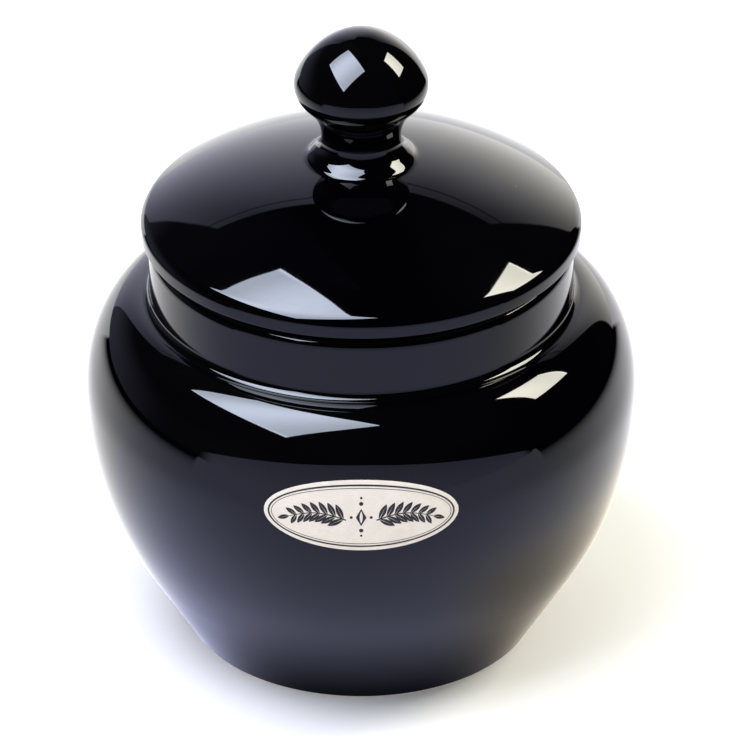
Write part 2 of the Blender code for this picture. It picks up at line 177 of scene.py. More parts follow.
class Painter:
    """Adds nodes to one tree."""

    def __init__(self, tree: bpy.types.NodeTree) -> None:
        """Empties the node tree of a material or the world, and keeps it."""
        tree.nodes.clear()
        self.tree = tree

    def node(
        self,
        kind: str,
        settings: dict[str, Any] | None = None,
        values: dict[int | str, Any] | None = None,
        output: int | str = 0,
    ) -> Shade:
        """Adds a node of any type.

        Args:
            kind: The node's type.
            settings: Its own settings, set before its sockets.
            values: What its input sockets hold, by number or name: a link or a plain value.
            output: The output socket to hand back.

        Returns:
            The chosen output.
        """
        made = self.tree.nodes.new(kind)
        for name, value in (settings or {}).items():
            setattr(made, name, value)
        for name, value in (values or {}).items():
            if isinstance(value, Shade):
                self.tree.links.new(value.socket, made.inputs[name])
            else:
                made.inputs[name].default_value = value
        return Shade(self, made.outputs[output] if made.outputs else None)

    def mix(self, factor: Shade | float, first: Any, second: Any) -> Shade:
        """Mixes two colours or links, by the share of the second."""
        values = {0: factor, 6: self._full(first), 7: self._full(second)}
        return self.node("ShaderNodeMix", {"data_type": "RGBA"}, values, output=2)

    @staticmethod
    def _full(colour: Any) -> Any:
        """A colour with its alpha, or a link as it is."""
        return colour if isinstance(colour, Shade) else (*colour, 1.0)

    def glow(self, colour: Any, level: Any, kind: str = "ShaderNodeEmission") -> Shade:
        """A shader, or a background, that gives off one colour at one level."""
        return self.node(kind, {}, {"Color": self._full(colour), "Strength": level})

    def blend(self, factor: Shade, first: Shade, second: Shade) -> Shade:
        """Mixes two shaders, by the share of the second."""
        return self.node("ShaderNodeMixShader", {}, {0: factor, 1: first, 2: second})

    def show(self, shader: Shade, kind: str = "ShaderNodeOutputMaterial") -> None:
        """Makes a shader the tree's surface."""
        self.node(kind, {}, {"Surface": shader})

    def ray(self, kind: str) -> Shade:
        """One where the ray is of a kind that the Light Path node names."""
        return self.node("ShaderNodeLightPath", output=kind)

    def place(self, coordinates: str = "Object") -> Shade:
        """The shaded point, in the piece's own space or as another kind of coordinates."""
        return self.node("ShaderNodeTexCoord", output=coordinates)

    def split(self, vector: Shade) -> tuple[Shade, ...]:
        """Takes a vector apart into x, y and z."""
        parts = self.node("ShaderNodeSeparateXYZ", {}, {0: vector}).socket.node.outputs
        return tuple(Shade(self, part) for part in parts)

    def reach(self) -> Shade:
        """The shaded point's distance from the jar's axis."""
        right, back, _ = self.split(self.place())
        return (right * right + back * back).root()

    def noise(self, scale: float, detail: float = 3.0, stretch: Colour = (1.0, 1.0, 1.0)) -> Shade:
        """Noise from 0 to 1 over the piece's own space.

        Args:
            scale: Waves to a metre.
            detail: Octaves of finer noise.
            stretch: Share of the scale along each axis.

        Returns:
            The noise.
        """
        values = {"Vector": self.place(), "Scale": stretch}
        place = self.node("ShaderNodeMapping", {}, values)
        return self.node(
            "ShaderNodeTexNoise", {}, {"Vector": place, "Scale": scale, "Detail": detail}
        )

    def cells(self, scale: float) -> Shade:
        """Distance to the nearest of many points, scattered so many to a metre."""
        return self.node("ShaderNodeTexVoronoi", {}, {"Vector": self.place(), "Scale": scale})

    def rings(self, scale: float) -> Shade:
        """Noise in rings round the axis, so many to a metre, as brushing leaves."""
        values = {"W": self.reach(), "Scale": scale, "Detail": 2.0}
        return self.node("ShaderNodeTexNoise", {"noise_dimensions": "1D"}, values)

    def bump(self, height: Shade, depth: float) -> Shade:
        """A normal from a height, where 1 stands so many metres high."""
        return self.node("ShaderNodeBump", {}, {"Distance": depth, "Height": height})


def blank_material(title: str) -> tuple[bpy.types.Material, Painter]:
    """Makes a material and the painter of its empty tree.

    Args:
        title: The material's name.

    Returns:
        Both.
    """
    made = bpy.data.materials.new(title)
    made.use_nodes = True
    return made, Painter(made.node_tree)


class Finish:
    """A surface finish that makes its material once."""

    title = "finish"

    def paint(self, painter: Painter) -> dict[str, Any]:
        """Adds the finish's nodes.

        Args:
            painter: The painter of the material's tree.

        Returns:
            Values and links for the shader's sockets, by name.
        """
        raise NotImplementedError

    def material(self) -> bpy.types.Material:
        """The finish's material, made on the first call.

        Returns:
            The material.
        """
        made = bpy.data.materials.get(self.title)
        if not made:
            made, painter = blank_material(self.title)
            painter.show(painter.node("ShaderNodeBsdfPrincipled", {}, self.paint(painter)))
        return made


@dataclass(frozen=True)
class BlackGlaze(Finish):
    """Jet black glaze, thick and glossy, with a fired surface's waves and few pinholes."""

    title = "Black glaze"
    pool: Colour = (0.0003, 0.0003, 0.0009)
    thin: Colour = (0.0012, 0.0010, 0.0013)
    cloud_scale: float = 22.0
    grain_scale: float = 900.0
    rough: float = 0.022
    grain_rough: float = 0.01
    cloud_rough: float = 0.008
    bending: float = 1.5
    swell_scale: float = 38.0
    ripple_scale: float = 210.0
    ripple_share: float = 0.2
    pinhole_scale: float = 70.0
    pinhole_radius: float = 0.022
    pinhole_depth: float = 4.0
    depth: float = 13 * MICRON

    def paint(self, painter: Painter) -> dict[str, Any]:
        """Glaze colour, gloss, waves and pinholes."""
        cloud = painter.noise(self.cloud_scale, 2.0)
        grain = painter.noise(self.grain_scale, 2.0)
        swell = painter.noise(self.swell_scale, 1.0)
        ripple = painter.noise(self.ripple_scale, 1.0)
        pinhole = painter.cells(self.pinhole_scale).ramp(0.0, self.pinhole_radius, 1.0, 0.0)
        height = swell + ripple * self.ripple_share - pinhole * self.pinhole_depth
        return {
            "Base Color": painter.mix(cloud.ramp(0.35, 0.7), self.pool, self.thin),
            "Roughness": self.rough + grain * self.grain_rough + cloud * self.cloud_rough,
            "IOR": self.bending,
            "Normal": painter.bump(height, self.depth),
        }


@dataclass(frozen=True)
class BareClay(Finish):
    """The unglazed clay of the foot ring."""

    title = "Bare clay"
    light: Colour = (0.60, 0.53, 0.44)
    dark: Colour = (0.46, 0.39, 0.31)
    speck_scale: float = 1400.0
    rough: float = 0.8
    speck_rough: float = 0.15
    tooth: float = 80 * MICRON

    def paint(self, painter: Painter) -> dict[str, Any]:
        """Speckled clay with a fine tooth."""
        speck = painter.noise(self.speck_scale, 4.0)
        return {
            "Base Color": painter.mix(speck.ramp(0.35, 0.65), self.dark, self.light),
            "Roughness": self.rough + speck * self.speck_rough,
            "Normal": painter.bump(speck, self.tooth),
        }


@dataclass(frozen=True)
class LabelPaper(Finish):
    """Uncoated cream label stock with a faint tooth of fibres."""

    title = "Label paper"
    light: Colour = (0.865, 0.795, 0.71)
    dark: Colour = (0.815, 0.74, 0.65)
    cloud_scale: float = 260.0
    fibre_scale: float = 2600.0
    fibre_stretch: Colour = (0.3, 0.3, 1.0)
    rough: float = 0.62
    fibre_rough: float = 0.2
    tooth: float = 12 * MICRON

    def paint(self, painter: Painter) -> dict[str, Any]:
        """Clouded cream with long and short fibres."""
        cloud = painter.noise(self.cloud_scale, 3.0)
        fibre = painter.noise(self.fibre_scale, 4.0, self.fibre_stretch)
        tone = (cloud * 0.5 + fibre * 0.5).ramp(0.38, 0.62)
        return {
            "Base Color": painter.mix(tone, self.dark, self.light),
            "Roughness": self.rough + fibre * self.fibre_rough,
            "Normal": painter.bump(fibre, self.tooth),
        }


@dataclass(frozen=True)
class RaisedInk(Finish):
    """Black printing ink that stands a little proud of the paper."""

    title = "Raised ink"
    full: Colour = (0.012, 0.010, 0.011)
    worn: Colour = (0.035, 0.031, 0.031)
    lay_scale: float = 3200.0
    rough: float = 0.36
    lay_rough: float = 0.2
    tooth: float = 6 * MICRON

    def paint(self, painter: Painter) -> dict[str, Any]:
        """Ink that lies slightly unevenly on the fibres."""
        lay = painter.noise(self.lay_scale, 3.0)
        return {
            "Base Color": painter.mix(lay.ramp(0.45, 0.75), self.full, self.worn),
            "Roughness": self.rough + lay * self.lay_rough,
            "Normal": painter.bump(lay, self.tooth),
        }


@dataclass(frozen=True)
class SoftRubber(Finish):
    """Dark grey silicone rubber with a dull bloom."""

    title = "Soft rubber"
    deep: Colour = (0.022, 0.022, 0.023)
    bloom: Colour = (0.045, 0.045, 0.046)
    patch_scale: float = 190.0
    grain_scale: float = 3800.0
    rough: float = 0.5
    patch_rough: float = 0.22
    tooth: float = 9 * MICRON

    def paint(self, painter: Painter) -> dict[str, Any]:
        """Bloom in patches over a fine mould texture."""
        patch = painter.noise(self.patch_scale, 3.0)
        grain = painter.noise(self.grain_scale, 2.0)
        return {
            "Base Color": painter.mix(patch.ramp(0.4, 0.72), self.deep, self.bloom),
            "Roughness": self.rough + patch * self.patch_rough,
            "Normal": painter.bump(grain + patch, self.tooth),
        }


@dataclass(frozen=True)
class StampedSteel(Finish):
    """Plain steel, stamped and lightly brushed in rings."""

    title = "Stamped steel"
    light: Colour = (0.62, 0.61, 0.60)
    dark: Colour = (0.48, 0.47, 0.46)
    ring_scale: float = 5200.0
    cloud_scale: float = 240.0
    rough: float = 0.24
    ring_rough: float = 0.12
    cloud_rough: float = 0.1
    tooth: float = 5 * MICRON

    def paint(self, painter: Painter) -> dict[str, Any]:
        """Rings of brushing with a few duller clouds."""
        ring = painter.rings(self.ring_scale)
        cloud = painter.noise(self.cloud_scale, 3.0)
        return {
            "Base Color": painter.mix(cloud * 0.5 + ring * 0.5, self.dark, self.light),
            "Metallic": 1.0,
            "Roughness": self.rough + ring * self.ring_rough + cloud * self.cloud_rough,
            "Normal": painter.bump(ring, self.tooth),
        }


@dataclass(frozen=True)
class NickelPlate(Finish):
    """The bright plating of the magnet, with the smudges of handling."""

    title = "Nickel plate"
    clean: Colour = (0.76, 0.74, 0.71)
    dull: Colour = (0.62, 0.60, 0.57)
    smudge_scale: float = 330.0
    peel_scale: float = 1500.0
    rough: float = 0.09
    smudge_rough: Ramp = Ramp(0.35, 0.75, 0.0, 0.16)
    tooth: float = 3 * MICRON

    def paint(self, painter: Painter) -> dict[str, Any]:
        """Smudges in the gloss and a slight orange peel."""
        smudge = painter.noise(self.smudge_scale, 4.0)
        peel = painter.noise(self.peel_scale, 1.0)
        return {
            "Base Color": painter.mix(smudge.ramp(0.4, 0.75), self.clean, self.dull),
            "Metallic": 1.0,
            "Roughness": self.rough + smudge.ramp(*self.smudge_rough),
            "Normal": painter.bump(peel, self.tooth),
        }


@dataclass(frozen=True)
class MouldedPlastic(Finish):
    """Black moulded plastic with a fine spark-eroded texture."""

    title = "Moulded plastic"
    base: Colour = (0.017, 0.017, 0.018)
    scuffed: Colour = (0.032, 0.032, 0.033)
    scuff_scale: float = 420.0
    grain_scale: float = 4600.0
    rough: float = 0.36
    scuff_rough: float = 0.16
    grain_rough: float = 0.06
    tooth: float = 10 * MICRON

    def paint(self, painter: Painter) -> dict[str, Any]:
        """Scuffs over an even satin grain."""
        scuff = painter.noise(self.scuff_scale, 5.0)
        grain = painter.noise(self.grain_scale, 2.0)
        return {
            "Base Color": painter.mix(scuff.ramp(0.5, 0.78), self.base, self.scuffed),
            "Roughness": self.rough + scuff * self.scuff_rough + grain * self.grain_rough,
            "Normal": painter.bump(grain, self.tooth),
        }


@dataclass(frozen=True)
class WetFoam(Finish):
    """Open-cell green foam that holds the water."""

    title = "Wet foam"
    wall: Colour = (0.17, 0.40, 0.22)
    # painted shade: the colour that the pores take
    pore_shade: Colour = (0.03, 0.10, 0.05)
    pore_scale: float = 1500.0
    patch_scale: float = 160.0
    rough: float = 0.95
    wet_gloss: Ramp = Ramp(0.45, 0.7, 0.0, 0.35)
    tooth: float = 180 * MICRON

    def paint(self, painter: Painter) -> dict[str, Any]:
        """Pores painted darker as shade between lighter cell walls, wetter in some patches."""
        # hollow marks the pores: it paints shade into their colour and also sets the bump
        hollow = painter.cells(self.pore_scale).ramp(0.12, 0.5)
        patch = painter.noise(self.patch_scale, 2.0)
        return {
            "Base Color": painter.mix(hollow, self.pore_shade, self.wall),
            "Roughness": self.rough - patch.ramp(*self.wet_gloss),
            "Normal": painter.bump(hollow, self.tooth),
        }


class HalfSection:
    """The half section of a turned piece, drawn as one line of straight runs and bends."""

    def __init__(self, out: float, up: float) -> None:
        """Starts the line at a distance from the axis and a height."""
        self.corners: list[tuple[float, float, float]] = [(out, up, 0.0)]

    @property
    def end(self) -> Point:
        """The last point."""
        return self.corners[-1][:2]

    def to(self, out: float, up: float, rounding: float = 0.0) -> "HalfSection":
        """Runs straight to a point, where the corner gets a rounding of that radius."""
        self.corners.append((out, up, rounding))
        return self

    def stamp(
        self, outs: Sequence[float], sunk: float, level: float, rounding: float
    ) -> "HalfSection":
        """Runs outward in steps between a sunk and a full level, and starts sunk.

        Args:
            outs: Each step's start and end, as distances from the axis.
            sunk: The sunk height.
            level: The full height.
            rounding: Radius of every corner.

        Returns:
            The section itself.
        """
        for index, out in enumerate(outs):
            self.to(out, sunk if index % 4 in (0, 3) else level, rounding)
        return self

    def groove(self, out: float, up: float, width: float, depth: float) -> "HalfSection":
        """Runs up an upright side and cuts a shallow groove into it.

        Args:
            out: The side's distance from the axis.
            up: Height of the groove's middle.
            width: Its width.
            depth: Its depth, towards the axis.

        Returns:
            The section itself.
        """
        half, edge = width / 2, min(width, depth) * 0.4
        self.to(out, up - half, edge)
        self.to(out - depth, up - half * 0.6, edge)
        self.to(out - depth, up + half * 0.6, edge)
        return self.to(out, up + half, edge)

    def bend(self, radius: float, low: float, high: float, step: float = 1.5) -> "HalfSection":
        """Follows an arc whose outward normal turns from low to high above level.

        Args:
            radius: The arc's radius, negative where it is hollow.
            low: Where the normal starts.
            high: Where the normal ends.
            step: Turn of one facet.

        Returns:
            The section itself.
        """
        start_out, start_up = self.end
        first = math.radians(low)
        turn = math.radians(high - low)
        steps = max(2, math.ceil(abs(high - low) / step))
        for index in range(1, steps + 1):
            angle = first + turn * index / steps
            out = start_out - radius * (math.cos(first) - math.cos(angle))
            self.to(out, start_up + radius * (math.sin(angle) - math.sin(first)))
        return self

    def points(self) -> list[Vector]:
        """The line's points as distance from the axis and height, with its corners rounded.

        Returns:
            The points.
        """
        found: list[Vector] = []
        count = len(self.corners)
        for index, (out, up, rounding) in enumerate(self.corners):
            here = Vector((out, up))
            if not rounding:
                found.append(here)
                continue
            before = (Vector(self.corners[index - 1][:2]) - here).normalized()
            after = (Vector(self.corners[(index + 1) % count][:2]) - here).normalized()
            half_angle = before.angle(after) / 2
            centre = here + (before + after).normalized() * rounding / math.sin(half_angle)
            start = here + before * rounding / math.tan(half_angle) - centre
            end = here + after * rounding / math.tan(half_angle) - centre
            turn = -start.angle_signed(end)
            steps = max(2, math.ceil(abs(math.degrees(turn)) / CORNER_FACET))
            for part in range(steps + 1):
                found.append(centre + Matrix.Rotation(turn * part / steps, 2) @ start)
        return found


def skin(name: str, loops: Sequence[Sequence[Vector]], closed: bool = False) -> bpy.types.Mesh:
    """Covers a row of loops with faces that point out.

    Args:
        name: The mesh's name.
        loops: Loops of equal count, each counter-clockwise seen from beyond the last. A
            loop of one point closes an end.
        closed: True where the last loop joins the first.

    Returns:
        The mesh.
    """
    places: list[Vector] = []
    starts: list[int] = []
    for loop in loops:
        starts.append(len(places))
        places.extend(loop)
    pairs = [(low, low + 1) for low in range(len(loops) - 1)]
    if closed:
        pairs.append((len(loops) - 1, 0))
    faces = []
    for low, high in pairs:
        count = max(len(loops[low]), len(loops[high]))
        for side in range(count):
            after = (side + 1) % count
            lower = (side, after) if len(loops[low]) > 1 else (0,)
            upper = (after, side) if len(loops[high]) > 1 else (0,)
            faces.append([starts[low] + at for at in lower] + [starts[high] + at for at in upper])
    mesh = bpy.data.meshes.new(name)
    mesh.from_pydata(places, [], faces)
    mesh.update()
    return mesh


def turned(
    name: str,
    line: HalfSection,
    sides: int,
    closed: bool = False,
    shape: Callable[[float, float, float], float] | None = None,
) -> bpy.types.Mesh:
    """Turns a half section about the jar's axis.

    Args:
        name: The mesh's name.
        line: The half section. An open one begins and ends on the axis.
        sides: Facets round the axis.
        closed: True for a ring.
        shape: Gives the distance from the axis for a point's own distance, height and
            turn, where the piece isn't quite round.

    Returns:
        The mesh, with its faces pointing out.
    """
    points: list[Vector] = []
    for point in line.points():
        if not points or (point - points[-1]).length > MICRON:
            points.append(point)
    area = sum(a.x * b.y - b.x * a.y for a, b in zip(points, points[1:] + points[:1]))
    if area < 0:
        points.reverse()
    turns = [2 * math.pi * side / sides for side in range(sides)]
    loops = []
    for out, up in points:
        if out < MICRON:
            loops.append([Vector((0.0, 0.0, up))])
            continue
        reaches = [shape(out, up, turn) if shape else out for turn in turns]
        loops.append(
            [
                Vector((reach * math.cos(turn), reach * math.sin(turn), up))
                for reach, turn in zip(reaches, turns)
            ]
        )
    return skin(name, loops, closed)


def hang(name: str, data: Any) -> bpy.types.Object:
    """Makes an object of a mesh, lamp or camera and puts it in the scene.

    Args:
        name: The object's name.
        data: What it shows.

    Returns:
        The object.
    """
    made = bpy.data.objects.new(name, data)
    bpy.context.scene.collection.objects.link(made)
    return made


@dataclass
class Piece:
    """How a finished mesh joins the model."""

    name: str
    body: Body
    slot: Slot
    finish: Finish
    nodes: tuple[str, ...] = ()

    def place(self, mesh: bpy.types.Mesh, sharp: float = 38.0) -> bpy.types.Object:
        """Makes the mesh a piece of the model.

        Args:
            mesh: The finished mesh, in the model's frame.
            sharp: Edges that turn by more than this stay sharp.

        Returns:
            The piece.
        """
        mesh.shade_smooth()
        mesh.set_sharp_from_angle(angle=math.radians(sharp))
        mesh.materials.clear()
        mesh.materials.append(self.finish.material())
        made = hang(self.name, mesh)
        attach(made, self.body.value)
        if self.nodes:
            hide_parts(*self.nodes)
        LOG.info("%s: %d faces on %s", self.name, len(mesh.polygons), self.body.value)
        return made

    def turn(
        self, line: HalfSection, sides: int = LARGE_SIDES, closed: bool = False
    ) -> bpy.types.Object:
        """Turns a half section into the piece."""
        return self.place(turned(self.name, line, sides, closed))


@dataclass
class JarBody:
    """The pot: foot ring, straight flare, barrel, shoulder and neck."""

    radius: float = 0.0675
    widest_height: float = 0.065
    barrel_bend: float = 0.087
    foot_slope: float = 30.7
    shoulder_rise: float = 0.0266
    shoulder_undercut: float = 0.0027
    shoulder_dip: float = 0.0011
    dip_start: float = 32.0
    neck_radius: float = 0.0517
    neck_height: float = 0.0145
    neck_fillet: float = 0.0024
    neck_wall: float = 0.0055
    wall: float = 0.005
    rim_rounding: float = 0.003
    mouth_edge: float = 0.0008
    throat_edge: float = 0.0015
    foot_edge: float = 0.001
    foot_recess: float = 0.002
    foot_ring_width: float = 0.0055
    recess_edge: float = 0.0006
    bare_share: float = 0.3
    floor_thickness: float = 0.0055
    floor_fillet: float = 0.008
    shoulder_steps: int = 60

    def __post_init__(self) -> None:
        """Works out the sizes that follow from the fields."""
        slope = math.radians(self.foot_slope)
        self.barrel_centre = self.radius - self.barrel_bend
        self.shoulder_centre = self.neck_radius - self.shoulder_undercut
        self.shoulder_reach = self.radius - self.shoulder_centre
        self.flare_top = (
            self.barrel_centre + self.barrel_bend * math.cos(slope),
            self.widest_height - self.barrel_bend * math.sin(slope),
        )
        self.foot_radius = self.flare_top[0] - self.flare_top[1] * math.tan(slope)
        self.neck_turn = math.acos(self.shoulder_undercut / self.shoulder_reach)
        rise = self.shoulder_rise * math.sin(self.neck_turn)
        self.rim_height = self.widest_height + rise + self.neck_height
        self.bore_radius = self.neck_radius - self.neck_wall

    def _shoulder(self, reach: float, rise: float, last_turn: float) -> list[Point]:
        """Points of the elliptic shoulder.

        Args:
            reach: The ellipse's half width.
            rise: Its half height.
            last_turn: Where it ends, in radians from level.

        Returns:
            Points from the widest line up.
        """
        points = []
        for step in range(1, self.shoulder_steps + 1):
            turn = last_turn * step / self.shoulder_steps
            out = self.shoulder_centre + reach * math.cos(turn)
            up = self.widest_height + rise * math.sin(turn)
            points.append((out, up - self._dip(turn)))
        return points

    def _dip(self, turn: float) -> float:
        """How far the shoulder lies under its ellipse at a turn, in radians from level.

        Args:
            turn: The turn.

        Returns:
            The depth, which grows towards the neck.
        """
        start = math.radians(self.dip_start)
        share = max(0.0, (turn - start) / (self.neck_turn - start))
        return self.shoulder_dip * min(share, 1.0) ** 2

    def section(self) -> HalfSection:
        """The pot's whole half section, from the recess under it to the middle of its floor.

        Returns:
            The half section.
        """
        recess_radius = self.foot_radius - self.foot_ring_width
        line = HalfSection(0.0, self.foot_recess)
        line.to(recess_radius, self.foot_recess, self.recess_edge)
        line.to(recess_radius, 0.0, self.recess_edge)
        line.to(self.foot_radius, 0.0, self.foot_edge)
        line.to(*self.flare_top)
        line.bend(self.barrel_bend, -self.foot_slope, 0.0, step=0.6)
        shoulder = self._shoulder(self.shoulder_reach, self.shoulder_rise, self.neck_turn)
        for out, up in shoulder[:-2]:
            line.to(out, up)
        line.to(*shoulder[-1], self.neck_fillet)
        line.to(self.neck_radius, self.rim_height, self.rim_rounding)
        line.to(self.bore_radius, self.rim_height, self.mouth_edge)
        reach, rise = self.shoulder_reach - self.wall, self.shoulder_rise - self.wall
        line.to(self.bore_radius, self.widest_height + rise, self.throat_edge)
        for out, up in reversed(self._shoulder(reach, rise, math.pi / 2)):
            line.to(out, up)
        line.to(self.radius - self.wall, self.widest_height)
        line.bend(self.barrel_bend - self.wall, 0.0, -self.foot_slope, step=1.2)
        floor_height = self.foot_recess + self.floor_thickness
        flare_foot, flare_height = line.end
        drop = (flare_height - floor_height) * math.tan(math.radians(self.foot_slope))
        line.to(flare_foot - drop, floor_height, self.floor_fillet)
        return line.to(0.0, floor_height)

    def side_at(self, height: float) -> tuple[float, Vector]:
        """Where the outer side is at a height.

        Args:
            height: Height above the floor.

        Returns:
            Its distance from the axis, and its outward normal as out and up.
        """
        rise = height - self.widest_height
        above = rise > 0
        centre = self.shoulder_centre if above else self.barrel_centre
        across = self.shoulder_reach if above else self.barrel_bend
        upward = self.shoulder_rise if above else self.barrel_bend
        out = across * math.sqrt(1 - (rise / upward) ** 2)
        return centre + out, Vector((out / across**2, rise / upward**2)).normalized()

    def build(self, glaze: Finish, clay: Finish) -> None:
        """Makes the pot, glazed all over but for the ring it stands on.

        Args:
            glaze: Finish of the pot.
            clay: Finish of the foot ring.
        """
        pot = Piece("glazed_pot", Body.JAR, Slot.GLAZE, glaze, ("jar_body",))
        mesh = pot.turn(self.section()).data
        mesh.materials.append(clay.material())
        bare_below = self.foot_edge * self.bare_share
        inner = self.foot_radius - self.foot_ring_width - self.recess_edge
        for face in mesh.polygons:
            centre = face.center
            if centre.z < bare_below and Vector(centre[:2]).length > inner:
                face.material_index = 1


class RaisedPrint:
    """Ink laid as thin solid strips over a curved surface."""

    oval_steps = 120
    spot_steps = 12
    leaf_steps = 10
    rib_share = 0.045
    leaf_fullness = 0.85
    tip_share = 0.01

    def __init__(self, lay: Callable[[float, float, float], Vector], low: float, high: float):
        """Starts an empty print.

        Args:
            lay: Gives the place of a point from its distance along, its height up the
                label and how proud of the label's back it stands.
            low: How proud the ink's underside is.
            high: How proud its face is.
        """
        self.lay = lay
        self.levels = (low, high)
        self.work = bmesh.new()

    def strip(self, left: Sequence[Point], right: Sequence[Point], closed: bool = False) -> None:
        """Lays a strip of ink between two lines.

        Args:
            left: Points of one side.
            right: The same number of points of the other side.
            closed: True where the strip ends where it began.
        """
        low, high = self.levels
        rows = []
        for near, far in zip(left, right):
            corners = ((*near, low), (*far, low), (*far, high), (*near, high))
            rows.append([self.work.verts.new(self.lay(*corner)) for corner in corners])
        pairs = list(zip(rows, rows[1:]))
        if closed:
            pairs.append((rows[-1], rows[0]))
        else:
            self.work.faces.new(rows[0])
            self.work.faces.new(rows[-1])
        for first, second in pairs:
            for side in range(4):
                after = (side + 1) % 4
                self.work.faces.new((first[side], first[after], second[after], second[side]))

    def oval_line(self, half_width: float, half_height: float, weight: float) -> None:
        """Lays an oval line.

        Args:
            half_width: The line's outer half width.
            half_height: Its outer half height.
            weight: The line's width.
        """
        turns = [2 * math.pi * step / self.oval_steps for step in range(self.oval_steps)]
        outer = [(half_width * math.cos(t), half_height * math.sin(t)) for t in turns]
        inner_width, inner_height = half_width - weight, half_height - weight
        inner = [(inner_width * math.cos(t), inner_height * math.sin(t)) for t in turns]
        self.strip(outer, inner, closed=True)

    def spot(self, centre: Point, half_width: float, half_height: float, power: float) -> None:
        """Lays a small filled shape.

        Args:
            centre: Its middle.
            half_width: Half its width.
            half_height: Half its height.
            power: 2 for a round spot, 1 for a diamond.
        """
        least = self.tip_share * half_height
        upper, lower = [], []
        for step in range(self.spot_steps + 1):
            share = math.sin(math.pi * (step / self.spot_steps - 0.5))
            reach = max(least, half_height * (1 - abs(share) ** power) ** (1 / power))
            upper.append((centre[0] + half_width * share, centre[1] + reach))
            lower.append((centre[0] + half_width * share, centre[1] - reach))
        self.strip(upper, lower)

    def leaf(self, foot: Point, turn: float, length: float, width: float) -> None:
        """Lays a pointed leaf in two halves, with a bare line between them for its rib.

        Args:
            foot: Where the leaf leaves its stem.
            turn: Its direction, in radians from the label's width.
            length: Its length.
            width: Its greatest width.
        """
        along, across = (math.cos(turn), math.sin(turn)), (-math.sin(turn), math.cos(turn))
        for side in (1, -1):
            inner, outer = [], []
            for step in range(self.leaf_steps + 1):
                share = step / self.leaf_steps
                near = self.rib_share * width * (1 - share)
                full = width / 2 * math.sin(math.pi * share) ** self.leaf_fullness
                far = near + max(self.tip_share * width, full)
                for reach, points in ((near, inner), (far, outer)):
                    out, off = share * length, side * reach
                    x = foot[0] + along[0] * out + across[0] * off
                    points.append((x, foot[1] + along[1] * out + across[1] * off))
            self.strip(inner, outer)

    def mesh(self, name: str) -> bpy.types.Mesh:
        """Finishes the print.

        Args:
            name: The mesh's name.

        Returns:
            The mesh, with its faces pointing out.
        """
        bmesh.ops.recalc_face_normals(self.work, faces=self.work.faces)
        mesh = bpy.data.meshes.new(name)
        self.work.to_mesh(mesh)
        self.work.free()
        return mesh


@dataclass
class Sprig:
    """One leafy sprig, which runs outward to the right (side 1) or the left (side -1)."""

    side: int
    start: float = 0.0036
    run: float = 0.0136
    arch: float = 0.0015
    drop: float = 0.00075
    stem_half: float = 0.00017
    stem_taper: float = 0.0001
    stem_steps: int = 16
    pairs: int = 7
    first_pair: float = 0.35
    pair_end: float = 0.3
    leaf_length: float = 0.0043
    leaf_width: float = 0.00142
    length_fall: float = 0.0015
    width_fall: float = 0.00035
    leaf_turn: float = 46.0
    tip_length: float = 0.003
    tip_width: float = 0.0011

    def _stem(self, share: float) -> Point:
        """A point of the stem, from its foot at 0 to its tip at 1."""
        rise = self.arch * math.sin(math.pi * share) - self.drop
        return self.side * (self.start + self.run * share), rise

    def _lean(self, share: float, ahead: float) -> float:
        """The stem's direction from one of its points to another, in radians."""
        (x, y), (ahead_x, ahead_y) = self._stem(share), self._stem(ahead)
        return math.atan2(ahead_y - y, ahead_x - x)

    def lay(self, ink: RaisedPrint) -> None:
        """Lays the stem, its pairs of leaves and the leaf at its tip.

        Args:
            ink: The print.
        """
        left, right = [], []
        for step in range(self.stem_steps + 1):
            share = step / self.stem_steps
            x, y = self._stem(share)
            half = self.stem_half - self.stem_taper * share
            left.append((x, y + half))
            right.append((x, y - half))
        ink.strip(left, right)
        for pair in range(self.pairs):
            share = (pair + self.first_pair) / (self.pairs + self.pair_end)
            lean = self._lean(share, share + 0.02)
            length = self.leaf_length - self.length_fall * share
            width = self.leaf_width - self.width_fall * share
            for way in (1, -1):
                turn = lean + way * self.side * math.radians(self.leaf_turn)
                ink.leaf(self._stem(share), turn, length, width)
        ink.leaf(self._stem(1.0), self._lean(0.96, 1.0), self.tip_length, self.tip_width)


